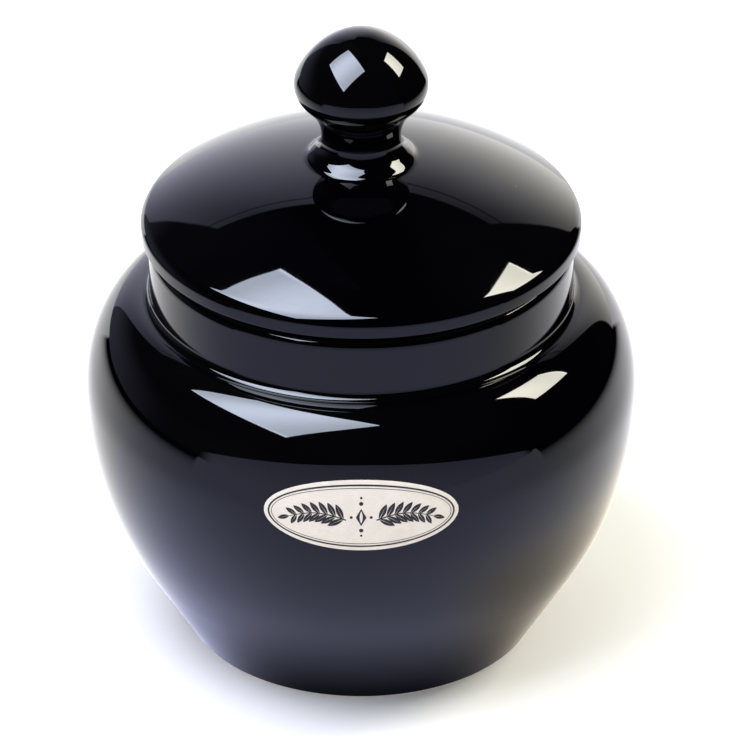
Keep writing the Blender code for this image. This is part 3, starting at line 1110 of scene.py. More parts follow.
@dataclass
class Label:
    """The oval paper label on the front of the pot, with its raised print."""

    pot: JarBody
    width: float = 0.047
    height: float = 0.0185
    raised: float = 0.002
    paper: float = 0.00031
    ink: float = 0.000035
    sunk: float = 0.00001
    cut_edge: float = 0.00005
    cut_bulge: float = 0.3
    borders: tuple[Point, ...] = ((0.001, 0.00042), (0.00185, 0.00014))
    diamond: Point = (0.00125, 0.0023)
    side_dot: Point = (0.00235, 0.00036)
    upper_dots: tuple[Point, ...] = ((0.00355, 0.0005), (0.005, 0.0003))
    loops: int = 26
    sides: int = 160

    def on_pot(self, along: float, up: float, proud: float) -> Vector:
        """A place over the pot's side.

        Args:
            along: Distance round the front, to the right.
            up: Height above the label's middle.
            proud: Distance in front of the label's back.

        Returns:
            The place.
        """
        height = self.pot.widest_height + self.raised + up
        radius, normal = self.pot.side_at(height)
        angle = along / self.pot.radius
        out = radius + normal.x * (SEAT_GAP + proud)
        rise = height + normal.y * (SEAT_GAP + proud)
        return Vector((out * math.sin(angle), -out * math.cos(angle), rise))

    def _oval(self, inset: float, proud: float) -> list[Vector]:
        """A loop round the label.

        Args:
            inset: How far it lies inside the label's edge.
            proud: Its distance in front of the label's back.

        Returns:
            The loop's points.
        """
        half_width, half_height = self.width / 2, self.height / 2
        share = 1 - inset / half_height
        loop = []
        for side in range(self.sides):
            turn = 2 * math.pi * side / self.sides
            along, up = half_width * math.cos(turn), half_height * math.sin(turn)
            loop.append(self.on_pot(share * along, share * up, proud))
        return loop

    def _paper_mesh(self) -> bpy.types.Mesh:
        """The paper, with the slightly crushed edge of die-cut stock.

        Returns:
            The mesh.
        """
        steps = [self.height / 2 * (1 - step / self.loops) for step in range(1, self.loops)]
        edge, face = self.cut_edge, self.paper
        loops = [[self.on_pot(0.0, 0.0, 0.0)]]
        loops += [self._oval(inset, 0.0) for inset in steps if inset > edge]
        loops += [self._oval(0.0, 0.0), self._oval(0.0, face - edge)]
        bulge = edge * self.cut_bulge
        loops += [self._oval(bulge, face - bulge), self._oval(edge, face)]
        loops += [self._oval(inset, face) for inset in reversed(steps) if inset > edge]
        loops.append([self.on_pot(0.0, 0.0, face)])
        return skin("label_paper", loops)

    def _print_mesh(self) -> bpy.types.Mesh:
        """The print: a double border and two sprigs that meet at a diamond.

        Returns:
            The mesh.
        """
        ink = RaisedPrint(self.on_pot, self.paper - self.sunk, self.paper + self.ink)
        for inset, weight in self.borders:
            ink.oval_line(self.width / 2 - inset, self.height / 2 - inset, weight)
        out, radius = self.side_dot
        for side in (1, -1):
            Sprig(side).lay(ink)
            ink.spot((side * out, 0.0), radius, radius, 2.0)
        ink.spot((0.0, 0.0), *self.diamond, 1.0)
        for up, radius in self.upper_dots:
            for way in (1, -1):
                ink.spot((0.0, way * up), radius, radius, 2.0)
        return ink.mesh("label_ink")

    def build(self, paper: Finish, ink: Finish) -> None:
        """Makes the label and its print.

        Args:
            paper: Finish of the paper.
            ink: Finish of the print.
        """
        Piece("label_paper", Body.JAR, Slot.PAPER, paper, ("label",)).place(self._paper_mesh())
        Piece("label_print", Body.JAR, Slot.PAPER, ink).place(self._print_mesh())


@dataclass
class Seal:
    """The rubber ring round the lid's flange, with a leaf that lies on the rim."""

    pot: JarBody
    leaf: float = 0.00105
    leaf_width: float = 0.0032
    band: float = 0.0012
    rib: float = 0.0003
    rib_height: float = 0.0008
    rib_spacing: float = 0.0032
    leaf_grooves: Point = (0.72, 0.4)
    edge: float = 0.0003
    fine_edge: float = 0.00012

    def __post_init__(self) -> None:
        """Works out the sizes that follow from the fields."""
        self.leaf_bottom = self.pot.rim_height + SEAT_GAP
        self.leaf_top = self.leaf_bottom + self.leaf
        self.rib_radius = self.pot.bore_radius - SEAT_GAP
        self.band_radius = self.rib_radius - self.rib
        self.inner_radius = self.band_radius - self.band
        self.leaf_radius = self.pot.bore_radius + self.leaf_width

    def build(self, lid: "Lid", rubber: Finish) -> None:
        """Makes the ring, with two soft ribs that wipe the bore of the neck.

        Args:
            lid: The lid, whose bead holds the ring.
            rubber: Finish of the ring.
        """
        bottom = lid.flange_bottom + lid.bead_height + SEAT_GAP
        line = HalfSection(self.inner_radius, bottom)
        line.to(self.band_radius, bottom, self.edge)
        middle = (self.leaf_bottom + bottom) / 2
        half = self.rib_height / 2
        for rise in (-self.rib_spacing / 2, self.rib_spacing / 2):
            line.to(self.band_radius, middle + rise - half, self.fine_edge)
            line.to(self.rib_radius, middle + rise, self.fine_edge)
            line.to(self.band_radius, middle + rise + half, self.fine_edge)
        line.to(self.band_radius, self.leaf_bottom, self.fine_edge)
        line.to(self.leaf_radius, self.leaf_bottom, self.edge)
        line.to(self.leaf_radius, self.leaf_top, self.edge)
        for share in self.leaf_grooves:
            out = self.band_radius + (self.leaf_radius - self.band_radius) * share
            line.to(out + self.rib, self.leaf_top, self.fine_edge)
            line.to(out, self.leaf_top - self.rib / 2, self.fine_edge)
            line.to(out - self.rib, self.leaf_top, self.fine_edge)
        line.to(self.inner_radius, self.leaf_top, self.fine_edge)
        seal = Piece("rubber_seal", Body.SEAL, Slot.RUBBER, rubber, ("seal_ring",))
        seal.turn(line, closed=True)


@dataclass
class Lid:
    """The domed lid with its knob, glazed in one."""

    underside: float
    groove_radius: float
    radius: float = 0.05354
    lip_edge: float = 0.00055
    lip_side: float = 0.002
    lip_bend: float = 0.002
    lip_turn: float = 24.0
    brow_bend: float = 0.005
    brow_turn: float = 54.86
    edge_bend: float = 0.07638
    edge_turn: float = 61.5
    crown_thickness: float = 0.005
    flange_depth: float = 0.012
    flange_wall: float = 0.004
    flange_edge: float = 0.001
    flange_root: float = 0.003
    bead_reach: float = 0.0012
    bead_height: float = 0.0015
    bead_edge: float = 0.0005
    collar_fillet: float = 0.003
    collar_swell: float = 0.014
    collar_cove: float = 0.005
    collar_lower_turn: float = 43.0
    collar_upper_turn: float = 50.0
    waist_radius: float = 0.00964
    flare_bend: float = 0.0116
    flare_turn: float = 43.2
    flare_straight: float = 0.00266
    ball_low_bend: float = 0.00608
    ball_low_turn: float = 25.0
    ball_side_bend: float = 0.0213
    ball_side_turn: float = 63.7

    def __post_init__(self) -> None:
        """Works out the dome and the flange."""
        self.flange_bottom = self.underside - self.flange_depth
        self.crown = HalfSection(self.radius, self.underside + self.lip_edge + self.lip_side)
        self.crown.bend(self.lip_bend, 0.0, self.lip_turn, step=3.0)
        self.crown.bend(self.brow_bend, self.lip_turn, self.brow_turn, step=2.0)
        self.crown.bend(self.edge_bend, self.brow_turn, self.edge_turn, step=0.6)
        edge_out, edge_up = self.crown.end
        self.dome_bend = edge_out / math.cos(math.radians(self.edge_turn))
        self.dome_centre = edge_up - self.dome_bend * math.sin(math.radians(self.edge_turn))

    def ceiling_height(self, radius: float) -> float:
        """Height of the crown's underside.

        Args:
            radius: Distance from the axis.

        Returns:
            The height.
        """
        inner_bend = self.dome_bend - self.crown_thickness
        return self.dome_centre + math.sqrt(inner_bend**2 - radius**2)

    def _knob(self, line: HalfSection) -> None:
        """Draws the collar and the knob up from the dome.

        Args:
            line: The half section, ending at the dome's outer edge.
        """
        lower, upper = math.radians(self.collar_lower_turn), math.radians(self.collar_upper_turn)
        collar = self.collar_fillet * math.cos(lower)
        collar += self.collar_swell * (math.cos(lower) - math.cos(upper))
        collar += self.collar_cove * (1 - math.cos(upper))
        foot = (self.waist_radius + collar) / (1 + self.collar_fillet / self.dome_bend)
        dome_turn = math.degrees(math.acos(foot / self.dome_bend))
        line.bend(self.dome_bend, self.edge_turn, dome_turn, step=0.6)
        line.bend(-self.collar_fillet, dome_turn, self.collar_lower_turn, step=4.0)
        line.bend(self.collar_swell, self.collar_lower_turn, self.collar_upper_turn, step=1.0)
        line.bend(-self.collar_cove, self.collar_upper_turn, 0.0, step=2.5)
        line.bend(-self.flare_bend, 0.0, -self.flare_turn, step=2.0)
        slope = math.radians(self.flare_turn)
        out, up = line.end
        line.to(
            out + self.flare_straight * math.sin(slope),
            up + self.flare_straight * math.cos(slope),
        )
        line.bend(self.ball_low_bend, -self.flare_turn, self.ball_low_turn, step=2.5)
        line.bend(self.ball_side_bend, self.ball_low_turn, self.ball_side_turn, step=1.2)
        cap_bend = line.end[0] / math.cos(math.radians(self.ball_side_turn))
        line.bend(cap_bend, self.ball_side_turn, 90.0, step=1.2)

    def section(self) -> HalfSection:
        """The lid's half section, from the middle of its ceiling round to the knob's top.

        Returns:
            The half section.
        """
        inner_bend = self.dome_bend - self.crown_thickness
        inner_radius = self.groove_radius - self.flange_wall
        wall_turn = math.degrees(math.acos(inner_radius / inner_bend))
        line = HalfSection(0.0, self.dome_centre + inner_bend)
        line.bend(inner_bend, 90.0, wall_turn, step=1.2)
        corner = line.corners.pop()
        line.to(corner[0], corner[1], self.flange_root)
        bead_radius = self.groove_radius + self.bead_reach
        bead_top = self.flange_bottom + self.bead_height
        line.to(inner_radius, self.flange_bottom, self.flange_edge)
        line.to(bead_radius, self.flange_bottom, self.bead_edge)
        line.to(bead_radius, bead_top, self.bead_edge)
        line.to(self.groove_radius, bead_top)
        line.to(self.groove_radius, self.underside)
        line.to(self.radius, self.underside, self.lip_edge)
        line.corners.extend(self.crown.corners)
        self._knob(line)
        return line

    def build(self, glaze: Finish) -> None:
        """Makes the lid and its knob in one finish."""
        lid = Piece("glazed_lid", Body.LID, Slot.GLAZE, glaze, ("lid", "lid_knob"))
        lid.turn(self.section())


@dataclass
class Humidifier:
    """The humidifier under the lid: steel disc, magnet, case, foam and grille."""

    lid: Lid
    mount_radius: float = 0.009
    mount_thickness: float = 0.001
    mount_stamping: tuple[float, ...] = (0.0012, 0.0016, 0.0058, 0.0061, 0.0065, 0.0068)
    magnet_radius: float = 0.008
    magnet_thickness: float = 0.0015
    magnet_edge: float = 0.00024
    case_radius: float = 0.024
    case_depth: float = 0.011
    case_wall: float = 0.0012
    case_clearance: float = 0.00085
    case_edge: float = 0.0005
    case_grooves: tuple[float, ...] = (0.46, 0.58, 0.7, 0.82)
    case_rings: tuple[Point, ...] = ((0.0215, 0.0175), (0.0165, 0.0125))
    boss_edge: float = 0.0003
    fine_edge: float = 0.00015
    groove_width: float = 0.0006
    groove_depth: float = 0.00025
    foam_edge: float = 0.001
    foam_rings: int = 64
    foam_layers: int = 16
    foam_pits: float = 0.00035
    foam_pit_scale: float = 1300.0
    foam_least_pit: float = 0.3
    foam_sharp: float = 80.0
    grille_thickness: float = 0.0013
    grille_wall: float = 0.0012
    grille_skirt: float = 0.0035
    grille_edge: float = 0.0005
    grille_sink: float = 0.0003
    grille_stamping: tuple[float, ...] = (0.0026, 0.003, 0.0062, 0.0066, 0.0206, 0.021)
    skirt_shares: tuple[float, ...] = (0.2, 0.3, 0.5, 0.7, 0.8)
    slot_count: int = 10
    slot_width: float = 0.0024
    slot_inner_end: float = 0.0075
    slot_margin: float = 0.0045
    slot_end_steps: int = 12
    grip_count: int = 48
    grip_depth: float = 0.0003
    grip_margin: float = 0.08
    grip_fade: float = 8.0
    grip_roundness: float = 0.6

    def __post_init__(self) -> None:
        """Stacks the pieces down from the lid's ceiling."""
        self.mount_top = self.lid.ceiling_height(self.mount_radius) - SEAT_GAP
        self.mount_bottom = self.mount_top - self.mount_thickness
        self.magnet_top = self.mount_bottom - SEAT_GAP
        self.magnet_bottom = self.magnet_top - self.magnet_thickness
        self.case_top = self.lid.ceiling_height(self.case_radius) - self.case_clearance
        self.case_bottom = self.case_top - self.case_depth
        self.case_ceiling = self.case_top - self.case_wall
        self.grille_top = self.case_bottom - SEAT_GAP
        self.grille_bottom = self.grille_top - self.grille_thickness
        self.grille_inner = self.case_radius + SEAT_GAP
        self.grille_radius = self.grille_inner + self.grille_wall
        self.skirt_top = self.case_bottom + self.grille_skirt

    def _build_mount(self, steel: Finish) -> None:
        """Makes the disc that is glued under the crown, stamped with a dimple and a ring.

        Args:
            steel: Its finish.
        """
        bottom, top, edge = self.mount_bottom, self.mount_top, self.fine_edge
        line = HalfSection(0.0, bottom + edge)
        line.stamp(self.mount_stamping, bottom + edge, bottom, edge)
        line.to(self.mount_radius, bottom, edge).to(self.mount_radius, top, edge)
        mount = Piece("steel_mount", Body.LID, Slot.STEEL, steel, ("humidifier_mount",))
        mount.turn(line.to(0.0, top), SMALL_SIDES)

    def _build_magnet(self, nickel: Finish) -> None:
        """Makes the plated magnet with its eased edges.

        Args:
            nickel: Its finish.
        """
        line = HalfSection(0.0, self.magnet_bottom)
        for up in (self.magnet_bottom, self.magnet_top):
            line.to(self.magnet_radius, up, self.magnet_edge)
        nodes = ("humidifier_magnet",)
        magnet = Piece("plated_magnet", Body.HUMIDIFIER, Slot.NICKEL, nickel, nodes)
        magnet.turn(line.to(0.0, self.magnet_top), SMALL_SIDES)

    def _build_case(self, plastic: Finish) -> None:
        """Makes the case, with a boss for the magnet and grooves for the fingers.

        Args:
            plastic: Its finish.
        """
        inner = self.case_radius - self.case_wall
        pocket = self.magnet_radius + SEAT_GAP
        pocket_floor = self.magnet_bottom - SEAT_GAP
        boss = pocket + self.case_wall
        fine, sink = self.fine_edge, self.groove_depth
        line = HalfSection(0.0, self.case_ceiling)
        line.to(inner, self.case_ceiling, self.case_edge).to(inner, self.case_bottom, fine)
        line.to(self.case_radius, self.case_bottom, fine)
        for share in self.case_grooves:
            up = self.case_bottom + share * self.case_depth
            line.groove(self.case_radius, up, self.groove_width, sink)
        line.to(self.case_radius, self.case_top, self.case_edge)
        for first, last in self.case_rings:
            line.to(first, self.case_top, fine).to(first - sink, self.case_top - sink, fine)
            line.to(last + sink, self.case_top - sink, fine).to(last, self.case_top, fine)
        line.to(boss, self.case_top, fine).to(boss, self.magnet_top, self.boss_edge)
        line.to(pocket, self.magnet_top, fine).to(pocket, pocket_floor)
        nodes = ("humidifier_case",)
        case = Piece("plastic_case", Body.HUMIDIFIER, Slot.PLASTIC, plastic, nodes)
        case.turn(line.to(0.0, pocket_floor))

    def _build_foam(self, foam: Finish) -> None:
        """Makes the foam pad, pitted all over its skin.

        Args:
            foam: Its finish.
        """
        radius, edge = self.case_radius - self.case_wall - SEAT_GAP, self.foam_edge
        bottom, top = self.grille_top + SEAT_GAP, self.case_ceiling - SEAT_GAP
        flat, side = radius - 2 * edge, top - bottom - 2.5 * edge
        line = HalfSection(0.0, bottom)
        for ring in range(1, self.foam_rings):
            line.to(flat * ring / (self.foam_rings - 1), bottom)
        line.to(radius, bottom, edge)
        for layer in range(1, self.foam_layers):
            line.to(radius, bottom + edge + side * layer / self.foam_layers)
        line.to(radius, top, edge)
        upper_rings = self.foam_rings // 2
        for ring in range(upper_rings, 0, -1):
            line.to(flat * ring / upper_rings, top)
        mesh = turned("foam", line.to(0.0, top), LARGE_SIDES)
        normals = [vertex.normal.copy() for vertex in mesh.vertices]
        for vertex, normal in zip(mesh.vertices, normals):
            cell = max(0.0, noise.noise(vertex.co * self.foam_pit_scale))
            vertex.co -= normal * self.foam_pits * min(1.0, cell + self.foam_least_pit)
        mesh.update()
        nodes = ("humidifier_foam",)
        pad = Piece("foam_pad", Body.HUMIDIFIER, Slot.FOAM, foam, nodes)
        pad.place(mesh, self.foam_sharp)

    def _grip(self, out: float, up: float, turn: float) -> float:
        """Hollows the grille's skirt between its grip ribs.

        Args:
            out: A point's distance from the axis.
            up: Its height.
            turn: Its turn round the axis.

        Returns:
            The distance from the axis that it gets.
        """
        if out < self.grille_radius - self.fine_edge:
            return out
        share = (up - self.grille_bottom) / (self.skirt_top - self.grille_bottom)
        inside = min(share, 1 - share) - self.grip_margin
        fade = min(1.0, max(0.0, inside * self.grip_fade))
        hollow = (0.5 - 0.5 * math.cos(self.grip_count * turn)) ** self.grip_roundness
        return out - self.grip_depth * fade * hollow

    def _slots(self) -> bpy.types.Mesh:
        """The round-ended slots of the grille, as solids to cut with.

        Returns:
            The mesh.
        """
        work = bmesh.new()
        outer_end = self.case_radius - self.slot_margin
        half = self.slot_width / 2
        low, high = self.grille_bottom - MILLIMETRE, self.grille_top + MILLIMETRE
        for slot in range(self.slot_count):
            turn = Matrix.Rotation(2 * math.pi * slot / self.slot_count, 3, "Z")
            outline = []
            for end, first in ((outer_end - half, -90), (self.slot_inner_end + half, 90)):
                for step in range(self.slot_end_steps + 1):
                    angle = math.radians(first + 180 * step / self.slot_end_steps)
                    outline.append((end + half * math.cos(angle), half * math.sin(angle)))
            lower = [work.verts.new(turn @ Vector((*point, low))) for point in outline]
            upper = [work.verts.new(turn @ Vector((*point, high))) for point in outline]
            work.faces.new(lower)
            work.faces.new(upper)
            for side in range(len(outline)):
                after = (side + 1) % len(outline)
                work.faces.new((lower[side], lower[after], upper[after], upper[side]))
        bmesh.ops.recalc_face_normals(work, faces=work.faces)
        mesh = bpy.data.meshes.new("slots")
        work.to_mesh(mesh)
        work.free()
        return mesh

    def _build_grille(self, plastic: Finish) -> None:
        """Makes the slotted cap, with a grip round its skirt.

        Args:
            plastic: Its finish.
        """
        bottom, fine = self.grille_bottom, self.fine_edge
        sunk = bottom + self.grille_sink
        line = HalfSection(0.0, sunk).stamp(self.grille_stamping, sunk, bottom, fine)
        line.to(self.grille_radius, bottom, self.grille_edge)
        for share in self.skirt_shares:
            line.to(self.grille_radius, bottom + (self.skirt_top - bottom) * share)
        line.to(self.grille_radius, self.skirt_top, fine)
        line.to(self.grille_inner, self.skirt_top, fine)
        line.to(self.grille_inner, self.grille_top, fine).to(0.0, self.grille_top)
        mesh = turned("grille", line, LARGE_SIDES, shape=self._grip)
        nodes = ("humidifier_grille",)
        grille = Piece("slotted_grille", Body.GRILLE, Slot.PLASTIC, plastic, nodes)
        grille.place(self._cut(mesh, self._slots()))

    @staticmethod
    def _cut(mesh: bpy.types.Mesh, cutter: bpy.types.Mesh) -> bpy.types.Mesh:
        """Cuts one mesh out of another.

        Args:
            mesh: What is cut.
            cutter: What is taken out.

        Returns:
            The cut mesh.
        """
        whole, tool = hang("whole", mesh), hang("tool", cutter)
        change = whole.modifiers.new("Slots", "BOOLEAN")
        change.operation = "DIFFERENCE"
        change.object = tool
        view = bpy.context.evaluated_depsgraph_get()
        result = bpy.data.meshes.new_from_object(whole.evaluated_get(view))
        for item in (whole, tool):
            bpy.data.objects.remove(item, do_unlink=True)
        return result

    def build(self, steel: Finish, nickel: Finish, plastic: Finish, foam: Finish) -> None:
        """Makes the five pieces.

        Args:
            steel: Finish of the disc.
            nickel: Finish of the magnet.
            plastic: Finish of the case and the grille.
            foam: Finish of the foam.
        """
        self._build_mount(steel)
        self._build_magnet(nickel)
        self._build_case(plastic)
        self._build_foam(foam)
        self._build_grille(plastic)


def mirrored_only(piece: bpy.types.Object) -> None:
    """Hides a piece from the camera, matt surfaces and shadows, so that only reflections show it.
    """
    piece.visible_camera = piece.visible_diffuse = piece.visible_shadow = False


@dataclass
class Softbox:
    """One softbox: a panel that is mirrored and a lamp that lights."""

    name: str
    centre: Colour
    across: Colour
    down: Colour
    colour: Colour
    bright: float
    dim: float
    spot: Point
    spread: Point
    light: float
    light_colour: Colour
    target: Colour = (0.0, 0.0, 0.09)
    fall: Ramp = Ramp(0.02, 1.0)
    rim: Ramp = Ramp(0.0, 0.06, 0.1, 1.0)
    cloth_scale: float = 7.0
    cloth_stretch: Colour = (1.0, 4.0, 1.0)
    cloth_share: float = 0.25

    def _matrix(self) -> Matrix:
        """Turns the unit square into the panel.

        Returns:
            The matrix.
        """
        first, second = Vector(self.across), Vector(self.down)
        facing = first.cross(second).normalized()
        middle = Vector(self.centre) + Vector(self.target)
        if facing.dot(middle) < 0:
            facing.negate()
        axes = Matrix((first, second, facing)).transposed()
        return Matrix.Translation(middle) @ axes.to_4x4()

    def _panel(self) -> None:
        """Hangs the panel, brightest at its spot, that shows in reflections alone."""
        corners = [(-0.5, -0.5, 0), (0.5, -0.5, 0), (0.5, 0.5, 0), (-0.5, 0.5, 0)]
        mesh = bpy.data.meshes.new(self.name + "_panel")
        mesh.from_pydata(corners, [], [(0, 1, 2, 3)])
        panel = hang(self.name + "_panel", mesh)
        panel.matrix_world = self._matrix()
        mirrored_only(panel)
        material, painter = blank_material(self.name + " panel")
        along, down, _ = painter.split(painter.place())
        cloth = painter.noise(self.cloth_scale, 4.0, self.cloth_stretch) - 0.5
        aside = (along - self.spot[0]) * self.spread[0]
        below = (down - self.spot[1]) * self.spread[1]
        share = (aside * aside + below * below).root().ramp(*self.fall)
        share += cloth * self.cloth_share
        share = share.most(0).least((0.5 - abs(along)).ramp(*self.rim))
        bright, dim = painter.glow(self.colour, self.bright), painter.glow(self.colour, self.dim)
        painter.show(painter.blend(share, bright, dim))
        mesh.materials.append(material)

    def _lamp(self) -> None:
        """Hangs the lamp that lights matt surfaces and shows in no reflection."""
        first, second = Vector(self.across), Vector(self.down)
        matrix = self._matrix()
        facing = matrix.col[2].to_3d()
        side = first.normalized()
        turn = Matrix((side, facing.cross(side), facing)).transposed()
        data = bpy.data.lights.new(self.name + "_lamp", "AREA")
        data.shape = "RECTANGLE"
        data.size, data.size_y = first.length, second.length
        data.color = self.light_colour
        data.energy = self.light * math.pi * first.length * second.length
        lamp = hang(self.name + "_lamp", data)
        lamp.matrix_world = Matrix.Translation(matrix.translation) @ turn.to_4x4()
        lamp.visible_camera = lamp.visible_glossy = False

    def build(self) -> None:
        """Hangs both."""
        self._panel()
        self._lamp()


@dataclass
class PaleFloor:
    """The round floor, which looks different to the camera, matt surfaces and the glaze.

    A place's reach is its distance from the jar's axis. Its facing goes from -1 in front
    of the jar to 1 behind it, and its side from -1 on the left to 1 on the right.
    """

    radius: float = 1.5
    sides: int = 128
    matt: float = 0.8
    seen: float = 1.34
    far: Ramp = Ramp(0.22, 0.45)
    # painted light and shadow: the fields from here on paint the floor's glow as the glaze shows
    # it
    brightest: float = 2.0
    lit: Ramp = Ramp(0.245, 0.785, 1.0, 0.0)
    front_wedge: Point = (2.2, 3.09)
    rear_wedge: Point = (0.95, 0.81)
    soft: float = 0.02
    facing_lean: float = 0.03
    level: Ramp = Ramp(-0.45, 0.85, 0.59, 1.57)
    near: Ramp = Ramp(0.05, 0.24, 0.72, 0.0)
    near_facing: Ramp = Ramp(-1.15, -0.08)
    front: Ramp = Ramp(0.06, 0.145, 0.17, 0.0)
    front_facing: Ramp = Ramp(-0.3, -1.0)
    contact_shadow: Ramp = Ramp(0.0402, 0.068)
    contact_shadow_light: Ramp = Ramp(-1.0, -0.3, 0.0, 0.78)
    contact_shadow_left: Ramp = Ramp(0.75, 1.0, 1.0, 0.68)
    shadow: Ramp = Ramp(-0.13, 1.23, 0.0, 0.44)
    shadow_end: Ramp = Ramp(0.062, 0.106, 1.0, 0.0)
    neutral: Colour = (1.0, 1.0, 1.03)
    neutral_share: Ramp = Ramp(-0.8, 0.25)
    neutral_lean: float = 0.2
    warm: Colour = (1.1, 1.0, 0.83)
    warm_side: Ramp = Ramp(0.3, 0.9)
    warm_end: Ramp = Ramp(0.07, 0.14, 1.0, 0.0)

    def _lit(self, right: Shade, back: Shade, reach: Shade) -> Shade:
        """Where painted light falls on the glow: a round patch, and a wedge to the front and to
        the rear.

        Args:
            right: Distance to the right of the jar's axis.
            back: Distance behind it.
            reach: Distance from it.

        Returns:
            One in the light and nought out of it.
        """
        lit = reach.ramp(*self.lit)
        for ahead, wedge in ((-back, self.front_wedge), (back, self.rear_wedge)):
            inside = (ahead * wedge[0] + right).above(self.soft)
            lit = lit.most(inside * (ahead * wedge[1] - right).above(self.soft))
        return lit

    def _mirrored(self, painter: Painter) -> Shade:
        """The floor in the glaze: a glow with painted light, painted shadows of the jar and the
        lamps' painted tints.

        Args:
            painter: The painter of the floor's tree.

        Returns:
            The shader.
        """
        right, back, _ = painter.split(painter.place())
        reach = (right * right + back * back).root().most(0.001)
        facing, side = (back - right * self.facing_lean) / reach, right / reach
        # painted light: the glow is brighter behind the jar and near its front
        level = facing.ramp(*self.level) + reach.ramp(*self.near) * facing.ramp(*self.near_facing)
        level += facing.ramp(*self.front_facing) * reach.ramp(*self.front)
        # painted contact shadow round the foot, darkest in front of it
        foot = facing.ramp(*self.contact_shadow_light) * (-side).ramp(*self.contact_shadow_left)
        level *= reach.ramp(*self.contact_shadow) * (1 - foot) + foot
        # painted shadow of the jar on its right
        shadow = side.ramp(*self.shadow) * reach.ramp(*self.shadow_end)
        share = self._lit(right, back, reach) * level * (1 - shadow) / self.brightest
        # painted tints of the lamps' light: cool in front, warm in the painted shadow on the right
        neutral = (facing + side * self.neutral_lean).ramp(*self.neutral_share)
        warm = side.ramp(*self.warm_side) * reach.ramp(*self.warm_end)
        tint = painter.mix(warm, painter.mix(neutral, COOL, self.neutral), self.warm)
        return painter.blend(share, painter.glow(COOL, 0.0), painter.glow(tint, self.brightest))

    def build(self) -> None:
        """Lays the floor."""
        work = bmesh.new()
        bmesh.ops.create_circle(work, cap_ends=True, segments=self.sides, radius=self.radius)
        mesh = bpy.data.meshes.new("floor")
        work.to_mesh(mesh)
        work.free()
        hang("floor", mesh)
        material, painter = blank_material("Floor")

        def matt(level: float) -> Shade:
            """A matt grey of one level."""
            values = {"Color": (level, level, level, 1.0)}
            return painter.node("ShaderNodeBsdfDiffuse", {}, values)

        far, white = painter.reach().ramp(*self.far), painter.glow(WHITE, 1.0)
        pale = painter.blend(far, matt(self.seen), white)
        plain = painter.blend(painter.ray("Is Camera Ray"), matt(self.matt), pale)
        painter.show(painter.blend(painter.ray("Is Glossy Ray"), plain, self._mirrored(painter)))
        mesh.materials.append(material)


@dataclass
class FrontCard:
    """The dim low card in front of the jar: a painted reflection, a glow that only the glaze shows
    and that lights nothing.
    """

    distance: float = 0.4146
    ends: Point = (-0.93, 1.14)
    height: float = 0.19
    fall: float = 0.07
    steps: int = 24
    glow: float = 0.6
    aside: Ramp = Ramp(-0.7, 0.7, 1.0, 0.8)
    upward: Ramp = Ramp(0.0, 0.2, 1.0, 0.74)
    end: Ramp = Ramp(0.0, 0.3)

    def build(self) -> None:
        """Stands the card on the floor, lower and dimmer towards its ends; its painted glow also
        dims to the right and towards its top.
        """
        first, last = self.ends
        places = []
        for step in range(self.steps + 1):
            right = first + (last - first) * step / self.steps
            top = self.height - self.fall * abs(right) * (1 + abs(right))
            places += [(right, -self.distance, 0.0), (right, -self.distance, top)]
        faces = [(at, at + 2, at + 3, at + 1) for at in range(0, 2 * self.steps, 2)]
        mesh = bpy.data.meshes.new("front_card")
        mesh.from_pydata(places, [], faces)
        card = hang("front_card", mesh)
        mirrored_only(card)
        card.visible_transmission = False
        material, painter = blank_material("Front card")
        right, _, up = painter.split(painter.place())
        # painted light: the glow dims to the right, towards the top and at the ends
        share = right.ramp(*self.aside) * up.ramp(*self.upward)
        share *= (right - first).ramp(*self.end) * (last - right).ramp(*self.end)
        painter.show(painter.blend(share, painter.glow(COOL, 0.0), painter.glow(COOL, self.glow)))
        mesh.materials.append(material)


